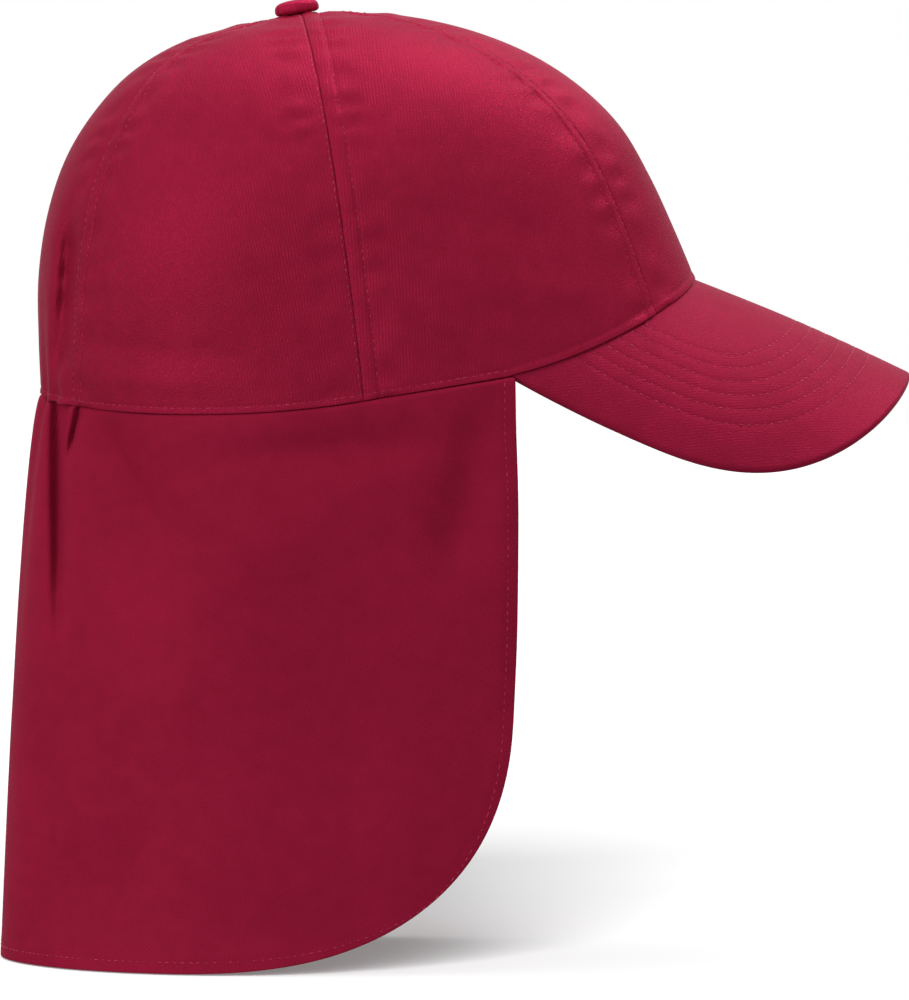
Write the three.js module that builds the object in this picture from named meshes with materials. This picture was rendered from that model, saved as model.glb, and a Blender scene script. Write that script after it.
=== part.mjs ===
// Legionnaire cap: a six-panel cloth crown with a stiff curved peak in front, a covered
// button on top and a neck flap that hangs from the rim round the sides and back.
// Lengths are millimetres. +X is the wearer's front, +Y the wearer's left and +Z up.
// The origin is where the crown's own axis meets the plane of the head opening.
import * as THREE from 'three';

const degrees = THREE.MathUtils.degToRad;

// Head opening and crown
const FRONT_REACH = 109.5; // from the crown's axis forward to the rim
const BACK_REACH = 97.9; // from the crown's axis back to the rim
const HALF_WIDTH = 81; // from the crown's axis sideways to the rim
const CROWN_HEIGHT = 104; // from the plane of the head opening to the top
const FRONT_BLUNTNESS = 2.3; // power of the plan's oval, where 2 is an ellipse
const BACK_BLUNTNESS = 2.1;
const WEAR_TILT = degrees(9.4); // how far the crown leans back as it is worn
const RIM_DIP_POWER = 1.35; // how the rim climbs from the sides to the back

// Crown panels
const PANEL_WALL = 1.6;
const PANEL_BULGE = 1.5; // how far the middle of a panel stands proud of its seams
const SEAM_GAP = 0.3;
const FRONT_SEAM = degrees(24.8); // seam places on the rim, round the axis from straight ahead
const SIDE_SEAM = degrees(90);
const REAR_SEAM = degrees(158.1);
const FRONT_SEAM_BOW = degrees(0.8); // the seams curve forward by this much half way up
const SIDE_SEAM_BOW = degrees(2.2);
const REAR_SEAM_BOW = degrees(6.5);
const FRONT_SEAM_BACK = 1.6; // how far behind those places the front seams lie all the way up
const SIDE_SEAM_AHEAD = 1.7; // and how far ahead of them the side seams lie
const SEAM_MEETING = 8; // within this reach of the axis the seams run together at the button
const GATHER_COUNT = 7; // puckers of the elastic in the rear panel
const GATHER_DEPTH = 1.3;
const GATHER_RUN = 0.3; // share of the panel's height over which they fade

// Top button
const BUTTON_DIAMETER = 13.8;
const BUTTON_HEIGHT = 4.6;
const BUTTON_SHANK_RADIUS = 2.6;
const BUTTON_SHANK_LENGTH = 5;

// Peak
const PEAK_LENGTH = 73; // along the middle, from the crown to the front edge
const PEAK_HALF_WIDTH = 96.8; // measured over its curve
const PEAK_THICKNESS = 3;
const PEAK_SLOPE = degrees(32.9); // down from the plane of the head opening
const PEAK_HALF_ANGLE = degrees(57); // where its ends meet the rim
const PEAK_BEND_EASE = 2; // how much wider than the head opening its bend is
const PEAK_SQUARENESS = 2.72; // power of its front outline
const PEAK_TUCK = 4; // how far it reaches in under the crown's edge
const PEAK_END_PROUD = 0.3; // how far its end corners stand out from the crown

// Neck flap
const FLAP_WALL = 1.2;
const FLAP_LENGTH = 177.2; // from the rim at the back down to the hem
const FLAP_TUCK = 6; // how far it reaches up inside the crown
const FLAP_CORNER_RUN = 106; // how far along the hem its front corners are rounded
const FLAP_CORNER_RISE = 82; // and how far up the front edges
const FLAP_CORNER_FULLNESS = 2.4;
const FLAP_END_GAP = 0.6; // between the flap's front edge and the peak's end
const FLAP_STEP_OUT = 3.2; // how far it swings out just under the rim at the back
const FLAP_STEP_RUN = 4.5; // the depth over which it does so
const FLAP_FLARE = 13.4; // how much further out its hem hangs at the back
const FLAP_FLARE_POWER = 0.55; // below 1, most of the flare is near the rim
const FLAP_SIDE_STEP = 2.4; // the same swing at the sides
const FLAP_SIDE_DRAW = 5; // how far the hem hangs in at the sides
const FLAP_FOLDS_START = degrees(138); // the folds lie behind this place
const FLAP_EDGE_BOW = 3; // how far the front edges bow forward half way down
const FLAP_EDGE_CURL = 3; // how far the front edges curl in towards the hem

const CLEARANCE = 0.3; // between pieces that meet
const CLOTH_RED = 0x921a35;

// Mesh fineness
const PANEL_ROWS = 11;
const PANEL_COLUMNS = 10;
const GATHERED_COLUMNS = 4 * GATHER_COUNT;
const PEAK_ROWS = 7;
const PEAK_COLUMNS = 30;
const FLAP_ROWS = 12;
const FLAP_FRONT_COLUMNS = 15; // on each side, ahead of the folds
const FLAP_CORNER_CROWDING = 1.7; // power that draws those columns to the front corner
const FLAP_FOLD_COLUMNS = 19; // on each side, across the folds at the back

// The crown's section from rim to top. Each row is a station; out is the share of the plan's
// reach and up the share of the height over the rim, at the back, at the sides and in front.
const CROWN_SECTIONS = [
  { backOut: 1.0, backUp: 0.0, sideOut: 1.0, sideUp: 0.0, frontOut: 1.0, frontUp: 0.0 },
  { backOut: 0.985, backUp: 0.16, sideOut: 0.995, sideUp: 0.16, frontOut: 0.963, frontUp: 0.16 },
  { backOut: 0.958, backUp: 0.34, sideOut: 0.975, sideUp: 0.335, frontOut: 0.918, frontUp: 0.33 },
  { backOut: 0.9, backUp: 0.516, sideOut: 0.93, sideUp: 0.505, frontOut: 0.858, frontUp: 0.495 },
  { backOut: 0.813, backUp: 0.675, sideOut: 0.85, sideUp: 0.66, frontOut: 0.764, frontUp: 0.635 },
  { backOut: 0.7, backUp: 0.8, sideOut: 0.735, sideUp: 0.785, frontOut: 0.64, frontUp: 0.757 },
  { backOut: 0.555, backUp: 0.905, sideOut: 0.585, sideUp: 0.885, frontOut: 0.488, frontUp: 0.857 },
  { backOut: 0.378, backUp: 0.972, sideOut: 0.4, sideUp: 0.955, frontOut: 0.32, frontUp: 0.932 },
  { backOut: 0.184, backUp: 0.997, sideOut: 0.2, sideUp: 0.99, frontOut: 0.15, frontUp: 0.979 },
  { backOut: 0.0, backUp: 1.0, sideOut: 0.0, sideUp: 1.0, frontOut: 0.0, frontUp: 1.0 },
];

// Folds in the flap. at is the place round the axis in degrees and wide its half width, deep is
// the share of the flap's length that the fold sinks in, run the share of the length that it
// runs down, and lean the degrees that it wanders back (or forward if negative) on its way.
const FLAP_FOLDS = [
  { at: 167, wide: 3.5, deep: 0.03, run: 0.75, lean: 3 },
  { at: 157, wide: 3, deep: 0.018, run: 0.35, lean: 4 },
  { at: 146, wide: 8, deep: 0.014, run: 0.8, lean: -16 },
  { at: -173, wide: 4, deep: 0.012, run: 0.6, lean: 3 },
  { at: -158, wide: 3.6, deep: 0.024, run: 0.62, lean: -8 },
  { at: -138, wide: 9, deep: 0.008, run: 0.8, lean: -14 },
];

const PEAK_BEND_RADIUS = HALF_WIDTH + PEAK_BEND_EASE;
const BUTTON_HOLE = BUTTON_SHANK_RADIUS + CLEARANCE;
const FLAP_START = PEAK_HALF_ANGLE + FLAP_END_GAP / planReach(PEAK_HALF_ANGLE);

// The oval of the rim, as a reach from the axis at an angle from straight ahead
function planReach(angle) {
  const ahead = Math.cos(angle) > 0;
  const power = ahead ? FRONT_BLUNTNESS : BACK_BLUNTNESS;
  const along = Math.abs(Math.cos(angle)) / (ahead ? FRONT_REACH : BACK_REACH);
  const across = Math.abs(Math.sin(angle)) / HALF_WIDTH;
  return (along ** power + across ** power) ** (-1 / power);
}

// The peak's top is part of a cylinder whose axis slopes down to the front. lift raises it.
function peakHeight(x, y, lift) {
  const bend = PEAK_BEND_RADIUS + lift;
  const drop = PEAK_BEND_RADIUS - Math.sqrt(bend ** 2 - y ** 2);
  return -(drop + (x - FRONT_REACH) * Math.sin(PEAK_SLOPE)) / Math.cos(PEAK_SLOPE);
}

// The crown's lower edge: over the peak it stands on the peak, then it runs level to the sides
// and climbs to the back.
function rimHeight(angle, reach) {
  const turn = Math.abs(angle);
  if (turn <= FLAP_START) {
    return peakHeight(reach * Math.cos(turn), reach * Math.sin(turn), CLEARANCE);
  }
  const dip = rimHeight(FLAP_START, planReach(FLAP_START));
  return turn < Math.PI / 2 ? dip : dip * Math.sin(turn) ** RIM_DIP_POWER;
}

const SECTION_CURVES = Object.fromEntries(['back', 'side', 'front'].map((side) => [
  side,
  new THREE.SplineCurve(
    CROWN_SECTIONS.map((row) => new THREE.Vector2(row[`${side}Out`], row[`${side}Up`])),
  ),
]));

const SEAMS = {
  front: { angle: FRONT_SEAM, bow: FRONT_SEAM_BOW, ahead: -FRONT_SEAM_BACK },
  side: { angle: SIDE_SEAM, bow: SIDE_SEAM_BOW, ahead: SIDE_SEAM_AHEAD },
  rear: { angle: REAR_SEAM, bow: REAR_SEAM_BOW, ahead: 0 },
};

function seamAngle(seam, rise) {
  const { angle, bow, ahead } = SEAMS[seam];
  const reach = BUTTON_HOLE + (HALF_WIDTH - BUTTON_HOLE) * SECTION_CURVES.side.getPoint(rise).x;
  return angle - bow * Math.sin(Math.PI * rise) - ahead / Math.hypot(reach, SEAM_MEETING);
}

// Where an angle lies across its panel, from 0 at one seam to 1 at the next
function placeAcross(angle, rise) {
  const turn = Math.abs(angle);
  const front = seamAngle('front', rise);
  const side = seamAngle('side', rise);
  const rear = seamAngle('rear', rise);
  if (turn < front) return 0.5 + 0.5 * turn / front;
  if (turn < side) return (turn - front) / (side - front);
  if (turn < rear) return (turn - side) / (rear - side);
  return 0.5 * (turn - rear) / (Math.PI - rear);
}

// One point of the crown's outer face as reach from the axis and height. rise is 0 at the rim
// and 1 at the button's hole.
function crownSection(angle, rise) {
  const ahead = Math.cos(angle) ** 2;
  const end = SECTION_CURVES[Math.cos(angle) > 0 ? 'front' : 'back'].getPoint(rise);
  const side = SECTION_CURVES.side.getPoint(rise);
  const share = side.lerp(end, ahead);
  const place = placeAcross(angle, rise);
  const fullness = 0.3 + 0.7 * Math.sin(Math.PI * Math.min(1, rise * 1.1)) ** 0.8;
  const hollow = PANEL_BULGE * fullness * (1 - Math.sin(Math.PI * place) ** 0.7);
  let reach = BUTTON_HOLE + (planReach(angle) - BUTTON_HOLE) * share.x;
  reach -= hollow * Math.min(1, share.x * 3);
  if (Math.abs(angle) > seamAngle('rear', rise)) {
    const fade = Math.max(0, 1 - rise / GATHER_RUN) ** 2;
    const across = angle > 0 ? place : 1 - place;
    reach += GATHER_DEPTH * fade * (0.5 - 0.5 * Math.cos(2 * Math.PI * GATHER_COUNT * across));
  }
  return { reach, up: share.y };
}

function crownPoint(angle, rise) {
  const { reach, up } = crownSection(angle, rise);
  const rim = rimHeight(angle, crownSection(angle, 0).reach);
  return { reach, height: rim + (CROWN_HEIGHT - rim) * up };
}

function atAngle(angle, { reach, height }) {
  return new THREE.Vector3(reach * Math.cos(angle), reach * Math.sin(angle), height);
}

// A point set in from the crown's outer face, in the upright plane through the axis
function crownInset(angle, rise, inset) {
  const step = 0.01;
  const low = crownPoint(angle, Math.max(0, rise - step));
  const high = crownPoint(angle, Math.min(1, rise + step));
  const run = high.reach - low.reach;
  const climb = high.height - low.height;
  const length = Math.hypot(run, climb);
  const { reach, height } = crownPoint(angle, rise);
  const inner = {
    reach: reach - inset * climb / length,
    height: height + inset * run / length,
  };
  if (rise === 0) inner.height = rimHeight(angle, inner.reach);
  return inner;
}

// A closed body between two grids of points that face each other
function closedSheet(columns, rows, faces) {
  const positions = [];
  const indices = [];
  const across = rows + 1;
  const count = (columns + 1) * across;
  for (const face of faces) {
    for (let i = 0; i <= columns; i += 1) {
      for (let j = 0; j <= rows; j += 1) positions.push(...face(i, j).toArray());
    }
  }
  const quad = (a, b, c, d) => indices.push(a, b, c, a, c, d);
  for (let i = 0; i < columns; i += 1) {
    for (let j = 0; j < rows; j += 1) {
      const corner = i * across + j;
      quad(corner, corner + across, corner + across + 1, corner + 1);
      quad(count + corner, count + corner + 1, count + corner + across + 1, count + corner + across);
    }
  }
  for (let i = 0; i < columns; i += 1) {
    const low = i * across;
    const high = low + rows;
    quad(low, count + low, count + low + across, low + across);
    quad(high, high + across, count + high + across, count + high);
  }
  for (let j = 0; j < rows; j += 1) {
    const last = columns * across + j;
    quad(j, j + 1, count + j + 1, count + j);
    quad(last, count + last, count + last + 1, last + 1);
  }
  return facingOut(positions, indices);
}

// Six times the volume inside a mesh, negative where its faces point in
function signedVolume(positions, indices) {
  const [a, b, c] = [new THREE.Vector3(), new THREE.Vector3(), new THREE.Vector3()];
  let sum = 0;
  for (let k = 0; k < indices.length; k += 3) {
    a.fromArray(positions, 3 * indices[k]);
    b.fromArray(positions, 3 * indices[k + 1]);
    c.fromArray(positions, 3 * indices[k + 2]);
    sum += a.dot(b.cross(c));
  }
  return sum;
}

function facingOut(positions, indices) {
  if (signedVolume(positions, indices) < 0) indices.reverse();
  const geometry = new THREE.BufferGeometry();
  geometry.setAttribute('position', new THREE.Float32BufferAttribute(positions, 3));
  geometry.setIndex(indices);
  geometry.computeVertexNormals();
  return geometry;
}

function piece(name, geometry, roughness) {
  const material = new THREE.MeshStandardMaterial({ color: CLOTH_RED, roughness, metalness: 0 });
  const mesh = new THREE.Mesh(geometry, material);
  mesh.name = name;
  return mesh;
}

// A crown panel from one seam round to the next. A seam is given with its side, 1 on the left
// and -1 on the right, and stops are the shares across the panel where its columns stand.
function crownPanel(name, start, finish, stops) {
  const edge = ([side, seam], rise) => side * seamAngle(seam, rise);
  const angleAt = (i, rise) => {
    const first = edge(start, rise);
    const last = edge(finish, rise);
    const sweep = last > first ? 0 : 2 * Math.PI;
    const gap = SEAM_GAP / 2 / crownSection(first, rise).reach;
    return THREE.MathUtils.lerp(first + gap, last + sweep - gap, stops[i]);
  };
  const unwound = (angle) => (angle > Math.PI ? angle - 2 * Math.PI : angle);
  const face = (inset) => (i, j) => {
    const rise = j / PANEL_ROWS;
    const angle = unwound(angleAt(i, rise));
    return atAngle(angle, inset ? crownInset(angle, rise, inset) : crownPoint(angle, rise));
  };
  return piece(name, closedSheet(stops.length - 1, PANEL_ROWS, [face(0), face(PANEL_WALL)]), 0.85);
}

const evenStops = (columns) => Array.from({ length: columns + 1 }, (_, i) => i / columns);

// Column places for the panel that the peak's end reaches, with one column just past that end
function stopsWithPeakEnd() {
  const pastEnd = (PEAK_HALF_ANGLE + FLAP_START) / 2;
  const front = seamAngle('front', 0);
  const share = (pastEnd - front) / (seamAngle('side', 0) - front);
  const before = Math.ceil(PANEL_COLUMNS / 2);
  const after = PANEL_COLUMNS - before;
  const first = evenStops(before).map((stop) => stop * share);
  const second = evenStops(after).slice(1).map((stop) => share + stop * (1 - share));
  return [...first, ...second];
}

function crownPanels() {
  const sideStops = stopsWithPeakEnd();
  const mirrored = sideStops.map((stop) => 1 - stop).reverse();
  const plain = evenStops(PANEL_COLUMNS);
  return [
    crownPanel('front_panel', [-1, 'front'], [1, 'front'], plain),
    crownPanel('left_front_side_panel', [1, 'front'], [1, 'side'], sideStops),
    crownPanel('right_front_side_panel', [-1, 'side'], [-1, 'front'], mirrored),
    crownPanel('left_rear_side_panel', [1, 'side'], [1, 'rear'], plain),
    crownPanel('right_rear_side_panel', [-1, 'rear'], [-1, 'side'], plain),
    crownPanel('rear_panel', [1, 'rear'], [-1, 'rear'], evenStops(GATHERED_COLUMNS)),
  ];
}

// The domed button on its shank, which passes through the hole that the panels leave
function topButton() {
  const radius = BUTTON_DIAMETER / 2;
  const lip = BUTTON_HEIGHT * 0.22;
  const profile = [
    [0, -BUTTON_SHANK_LENGTH],
    [BUTTON_SHANK_RADIUS, -BUTTON_SHANK_LENGTH],
    [BUTTON_SHANK_RADIUS, 0],
    [radius * 0.93, 0],
    [radius, lip],
    [radius * 0.985, BUTTON_HEIGHT * 0.5],
    [radius * 0.88, BUTTON_HEIGHT * 0.76],
    [radius * 0.62, BUTTON_HEIGHT * 0.93],
    [radius * 0.3, BUTTON_HEIGHT * 0.99],
    [0, BUTTON_HEIGHT],
  ].map(([x, y]) => new THREE.Vector2(x, y));
  const mesh = piece('top_button', new THREE.LatheGeometry(profile, 24), 0.8);
  mesh.rotation.x = Math.PI / 2;
  mesh.position.z = CROWN_HEIGHT + CLEARANCE;
  return mesh;
}

// A point of the peak from its place on the flat cut: along the middle line and over the curve.
// depth is how far it lies under the top face.
function peakPoint(along, over, depth) {
  const turn = over / PEAK_BEND_RADIUS;
  const radius = PEAK_BEND_RADIUS - depth;
  const drop = PEAK_BEND_RADIUS - radius * Math.cos(turn);
  return new THREE.Vector3(
    FRONT_REACH + along * Math.cos(PEAK_SLOPE) - drop * Math.sin(PEAK_SLOPE),
    radius * Math.sin(turn),
    -along * Math.sin(PEAK_SLOPE) - drop * Math.cos(PEAK_SLOPE),
  );
}

// The place on the peak's flat cut over a plan point of the crown
function peakCutUnder(angle, reach) {
  const x = reach * Math.cos(angle);
  const y = reach * Math.sin(angle);
  const height = peakHeight(x, y, 0);
  return new THREE.Vector2(
    (x - FRONT_REACH) * Math.cos(PEAK_SLOPE) - height * Math.sin(PEAK_SLOPE),
    PEAK_BEND_RADIUS * Math.asin(y / PEAK_BEND_RADIUS),
  );
}

// Points at even spacing along a polyline
function spacedEvenly(points, count) {
  const path = new THREE.CurvePath();
  for (let i = 1; i < points.length; i += 1) path.add(new THREE.LineCurve(points[i - 1], points[i]));
  return path.getSpacedPoints(count);
}

// The peak's outer edge on the flat cut: straight sides that draw in to the ends, then a
// rounded front
function peakOutline() {
  const end = peakCutUnder(PEAK_HALF_ANGLE, planReach(PEAK_HALF_ANGLE));
  const endOver = end.y + PEAK_END_PROUD;
  const half = [];
  const samples = 40;
  for (let i = 0; i < samples; i += 1) {
    const along = end.x * (1 - i / samples);
    half.push([along, PEAK_HALF_WIDTH - (PEAK_HALF_WIDTH - endOver) * (along / end.x) ** 2]);
  }
  for (let i = 0; i <= samples; i += 1) {
    const turn = Math.PI / 2 * i / samples;
    const power = 2 / PEAK_SQUARENESS;
    half.push([PEAK_LENGTH * Math.sin(turn) ** power, PEAK_HALF_WIDTH * Math.cos(turn) ** power]);
  }
  const left = half.map(([along, over]) => new THREE.Vector2(along, over));
  const right = half.slice(0, -1).reverse().map(([along, over]) => new THREE.Vector2(along, -over));
  return spacedEvenly([...left, ...right], PEAK_COLUMNS);
}

function peak() {
  const outer = peakOutline();
  const inner = outer.map((_, i) => {
    const angle = PEAK_HALF_ANGLE * (1 - 2 * i / PEAK_COLUMNS);
    return peakCutUnder(angle, planReach(angle) - PEAK_TUCK);
  });
  const face = (depth) => (i, j) => {
    const cut = inner[i].clone().lerp(outer[i], j / PEAK_ROWS);
    return peakPoint(cut.x, cut.y, depth);
  };
  return piece('peak', closedSheet(PEAK_COLUMNS, PEAK_ROWS, [face(0), face(PEAK_THICKNESS)]), 0.8);
}

// From the crown's own frame to the frame of the worn cap, leaning back
function worn(point) {
  return point.clone().applyAxisAngle(new THREE.Vector3(0, 1, 0), -WEAR_TILT);
}


// The angles of the flap's columns, close together at the front corners and at the folds
function flapAngles() {
  const half = [];
  for (let i = 0; i < FLAP_FRONT_COLUMNS; i += 1) {
    const share = (i / FLAP_FRONT_COLUMNS) ** FLAP_CORNER_CROWDING;
    half.push(THREE.MathUtils.lerp(FLAP_START, FLAP_FOLDS_START, share));
  }
  for (let i = 0; i < FLAP_FOLD_COLUMNS; i += 1) {
    half.push(THREE.MathUtils.lerp(FLAP_FOLDS_START, Math.PI, i / FLAP_FOLD_COLUMNS));
  }
  const other = half.map((angle) => 2 * Math.PI - angle).reverse();
  return [...half, Math.PI, ...other];
}

// How far the flap hangs out from its line on the rim, down the fall and round the angle
function flapSwing(angle, fall) {
  const back = Math.max(0, -Math.cos(angle)) ** 1.3;
  const ahead = Math.max(0, Math.cos(angle)) / Math.cos(FLAP_START);
  const share = fall / FLAP_LENGTH;
  const step = THREE.MathUtils.lerp(FLAP_SIDE_STEP, FLAP_STEP_OUT, back);
  const swing = step * (1 - Math.exp(-fall / FLAP_STEP_RUN));
  const flare = back * FLAP_FLARE * share ** FLAP_FLARE_POWER - (1 - back) * FLAP_SIDE_DRAW * share ** 1.5;
  return swing + flare - ahead ** 2 * FLAP_EDGE_CURL * share;
}

function foldDepth(turn, fall) {
  const share = fall / FLAP_LENGTH;
  let depth = 0;
  for (const fold of FLAP_FOLDS) {
    const side = Math.sign(fold.at);
    const middle = degrees(fold.at + side * fold.lean * share);
    const off = (turn - middle) / degrees(fold.wide * (1 + share));
    const fade = Math.max(0, 1 - share / fold.run) ** 1.2;
    const start = 1 - Math.exp(-fall / FLAP_STEP_RUN);
    depth += fold.deep * FLAP_LENGTH * fade * start * Math.exp(-off * off);
  }
  return depth;
}

// A point of the flap. angle is its place on the rim, fall its depth under the rim, or above it
// where negative, corner how far it is from the front edge and inset how far in it lies.
function flapPoint(angle, fall, inset) {
  const turn = angle > Math.PI ? angle - 2 * Math.PI : angle;
  const reach = planReach(turn) - PANEL_BULGE * 0.3 - PANEL_WALL - CLEARANCE - inset;
  const height = rimHeight(turn, planReach(turn));
  const top = worn(atAngle(turn, { reach, height }));
  if (fall < 0) {
    const raised = worn(atAngle(turn, { reach: reach + fall * 0.08, height: height - fall }));
    return raised;
  }
  const out = flapSwing(turn, fall) - foldDepth(turn, fall);
  const bow = Math.max(0, Math.cos(turn)) * FLAP_EDGE_BOW * 4 * (fall / FLAP_LENGTH);
  top.x += out * Math.cos(turn) + bow * Math.max(0, 1 - fall / FLAP_LENGTH);
  top.y += out * Math.sin(turn);
  top.z -= fall;
  return top;
}

function neckFlap() {
  const angles = flapAngles();
  const rimLine = angles.map((angle) => flapPoint(angle, 0, 0));
  const hemHeight = flapPoint(Math.PI, FLAP_LENGTH, 0).z;
  const runs = [0];
  rimLine.slice(1).forEach((point, i) => runs.push(runs[i] + point.distanceTo(rimLine[i])));
  const whole = runs.at(-1);
  const fallOf = (i) => {
    const fromEdge = Math.min(runs[i], whole - runs[i]);
    const short = Math.max(0, 1 - fromEdge / FLAP_CORNER_RUN);
    const power = FLAP_CORNER_FULLNESS;
    const lift = FLAP_CORNER_RISE * (1 - (1 - short ** power) ** (1 / power));
    return rimLine[i].z - hemHeight - lift;
  };
  const tuckRows = 1;
  const face = (inset) => (i, j) => {
    const hanging = (j - tuckRows) / (FLAP_ROWS - tuckRows);
    const fall = j < tuckRows ? -FLAP_TUCK : fallOf(i) * hanging ** 1.25;
    return flapPoint(angles[i], fall, inset);
  };
  const sheet = closedSheet(angles.length - 1, FLAP_ROWS, [face(0), face(FLAP_WALL)]);
  return piece('neck_flap', sheet, 0.85);
}

const crown = new THREE.Group();
crown.add(...crownPanels(), topButton(), peak());
crown.rotation.y = -WEAR_TILT;

const cap = new THREE.Group();
cap.add(crown, neckFlap());

export default cap;
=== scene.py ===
"""The legionnaire cap dressed in its cloth: six crown panels, a covered button, a stitched peak
and a hanging neck flap, with the thread of every seam, on a pale floor in soft light.

Sizes are millimetres until a mesh is made. +X is the wearer's front, +Y the left and +Z up.
"""

import math

import bpy
import numpy as np
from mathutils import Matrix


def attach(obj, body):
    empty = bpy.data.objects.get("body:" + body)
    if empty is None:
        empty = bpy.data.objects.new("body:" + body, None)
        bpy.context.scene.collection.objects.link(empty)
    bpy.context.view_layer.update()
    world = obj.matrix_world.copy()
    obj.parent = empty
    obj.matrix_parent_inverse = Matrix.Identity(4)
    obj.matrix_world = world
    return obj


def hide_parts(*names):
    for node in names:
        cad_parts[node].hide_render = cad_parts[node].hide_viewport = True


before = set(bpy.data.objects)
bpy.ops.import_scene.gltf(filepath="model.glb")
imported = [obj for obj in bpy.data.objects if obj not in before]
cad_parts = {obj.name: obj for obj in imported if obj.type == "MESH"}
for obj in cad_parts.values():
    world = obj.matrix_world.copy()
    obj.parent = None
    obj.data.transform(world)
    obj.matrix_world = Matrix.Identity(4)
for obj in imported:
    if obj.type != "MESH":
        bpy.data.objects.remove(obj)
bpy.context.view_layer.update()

MM = 0.001

# Head opening and crown
FRONT_REACH = 109.5
BACK_REACH = 97.9
HALF_WIDTH = 81.0
CROWN_HEIGHT = 104.0
FRONT_BLUNTNESS = 2.3
BACK_BLUNTNESS = 2.1
WEAR_TILT = math.radians(9.4)
RIM_DIP_POWER = 1.35
# Length of cloth from the rim to the button, up a panel and up a seam
CROWN_RUN = 165.0
SEAM_RUN = 150.0

# Crown panels
PANEL_WALL = 1.6
PANEL_BULGE = 1.5
RIM_FULLNESS = 0.3
SEAM_GAP = 0.02
# Of each seam: its angle from the front, its bow forward and the length it lies ahead
SEAMS = {
    "front": (math.radians(24.8), math.radians(0.8), -1.6),
    "side": (math.radians(90.0), math.radians(2.2), 1.7),
    "rear": (math.radians(158.1), math.radians(6.5), 0.0),
}
SEAM_MEETING = 8.0
# Stitch rows beside each seam: lengths behind it, or ahead of it where negative
SEAM_ROWS = {"front": (0.8, 4.2), "side": (0.8, -4.9), "rear": (-0.8, -4.7)}
SEAM_ROW_ENDS = (0.012, 0.955)
STRIP_RISE = 0.24
STITCH_DIMPLE = 0.28
SEAM_DIMPLE = 0.12
DENT_DEPTH = 0.35
RIM_STITCH_HEIGHT = 2.1
RIM_RISE = 0.22
RIM_DIMPLE = 0.24
GATHER_COUNT = 7
GATHER_DEPTH = 1.3
GATHER_RUN = 0.3
SEAM_ROUND = 0.08
RIM_ROUND = 0.3
RIM_THIN = 0.35
RIM_THIN_RUN = 4.5
PUCKER_DEPTH = 0.34
# Lines seen from the side: two ends in pixels of the photograph, and a width and a rise
CROWN_PLEATS = (
    {"from": (64, 215), "to": (54, 372), "wide": 2.7, "rise": -8.0},
)
CROWN_CREASES = (
    {"from": (75, 346), "to": (250, 360), "wide": 4.0, "rise": -0.7},
    {"from": (75, 378), "to": (240, 388), "wide": 3.0, "rise": 0.4},
    {"from": (110, 128), "to": (330, 160), "wide": 9.0, "rise": -1.1},
    {"from": (120, 250), "to": (250, 280), "wide": 14.0, "rise": 0.7},
    {"from": (420, 215), "to": (590, 235), "wide": 9.0, "rise": -0.6},
    {"from": (500, 285), "to": (610, 300), "wide": 5.0, "rise": 0.5},
)

# The crown's section from rim to top at ten stations: out is the share of the plan's reach and
# up the share of the height over the rim
SECTION_OUT = {
    "back": (1.0, 0.985, 0.958, 0.9, 0.813, 0.7, 0.555, 0.378, 0.184, 0.0),
    "side": (1.0, 0.995, 0.975, 0.93, 0.85, 0.735, 0.585, 0.4, 0.2, 0.0),
    "front": (1.0, 0.963, 0.918, 0.858, 0.764, 0.64, 0.488, 0.32, 0.15, 0.0),
}
SECTION_UP = {
    "back": (0.0, 0.16, 0.34, 0.516, 0.675, 0.8, 0.905, 0.972, 0.997, 1.0),
    "side": (0.0, 0.16, 0.335, 0.505, 0.66, 0.785, 0.885, 0.955, 0.99, 1.0),
    "front": (0.0, 0.16, 0.33, 0.495, 0.635, 0.757, 0.857, 0.932, 0.979, 1.0),
}

# Top button: its profile as radius and height, from the foot of the shank to the top
SHANK_RADIUS = 2.6
BUTTON_PROFILE = (
    (0.0, -5.0), (2.5, -5.0), (SHANK_RADIUS, -4.6), (SHANK_RADIUS, -1.2), (2.7, 0.05),
    (4.6, 0.06), (6.1, 0.25), (6.78, 0.95), (6.9, 1.8), (6.75, 2.7),
    (6.2, 3.5), (5.1, 4.08), (3.6, 4.4), (1.9, 4.55), (0.0, 4.6),
)
BUTTON_SIDES = 72
BUTTON_STATIONS = 73

# Peak
PEAK_LENGTH = 73.0
PEAK_HALF_WIDTH = 96.8
PEAK_THICKNESS = 3.0
PEAK_SLOPE = math.radians(32.9)
PEAK_HALF_ANGLE = math.radians(57.0)
PEAK_BEND_RADIUS = HALF_WIDTH + 2.0
PEAK_SQUARENESS = 2.72
PEAK_TUCK = 4.0
PEAK_END_PROUD = 0.3
PEAK_ROWS = (14.7, 19.9, 24.9, 29.9, 35.0, 40.2)
PEAK_ROW_DIMPLE = 0.14
PEAK_ROW_WIDTH = 0.75
PEAK_ROW_NET = (-1.1, -0.7, -0.35, 0, 0.35, 0.7, 1.1)
PEAK_CAMBER = 1.5
PEAK_CAMBER_WIDTH = 42.0
PEAK_ARCH = 0.9
PEAK_ARCH_WIDTH = 45.0
# How the lines inward of the peak's edge change on the way to its tucked edge
PEAK_DEEP = 77.5
PEAK_LAST_LINE = 75.5
PEAK_NARROWING = 19.3
PEAK_NARROWING_POWER = 4.2
PEAK_SHOULDER_SHIFT = 5.0
PEAK_SPREAD_LOSS = 5.0
PEAK_SPREAD_RUN = 14.0

# Neck flap
FLAP_WALL = 1.2
FLAP_LENGTH = 177.2
FLAP_TUCK = 6.0
FLAP_TUCK_LEAN = 0.08
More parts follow.
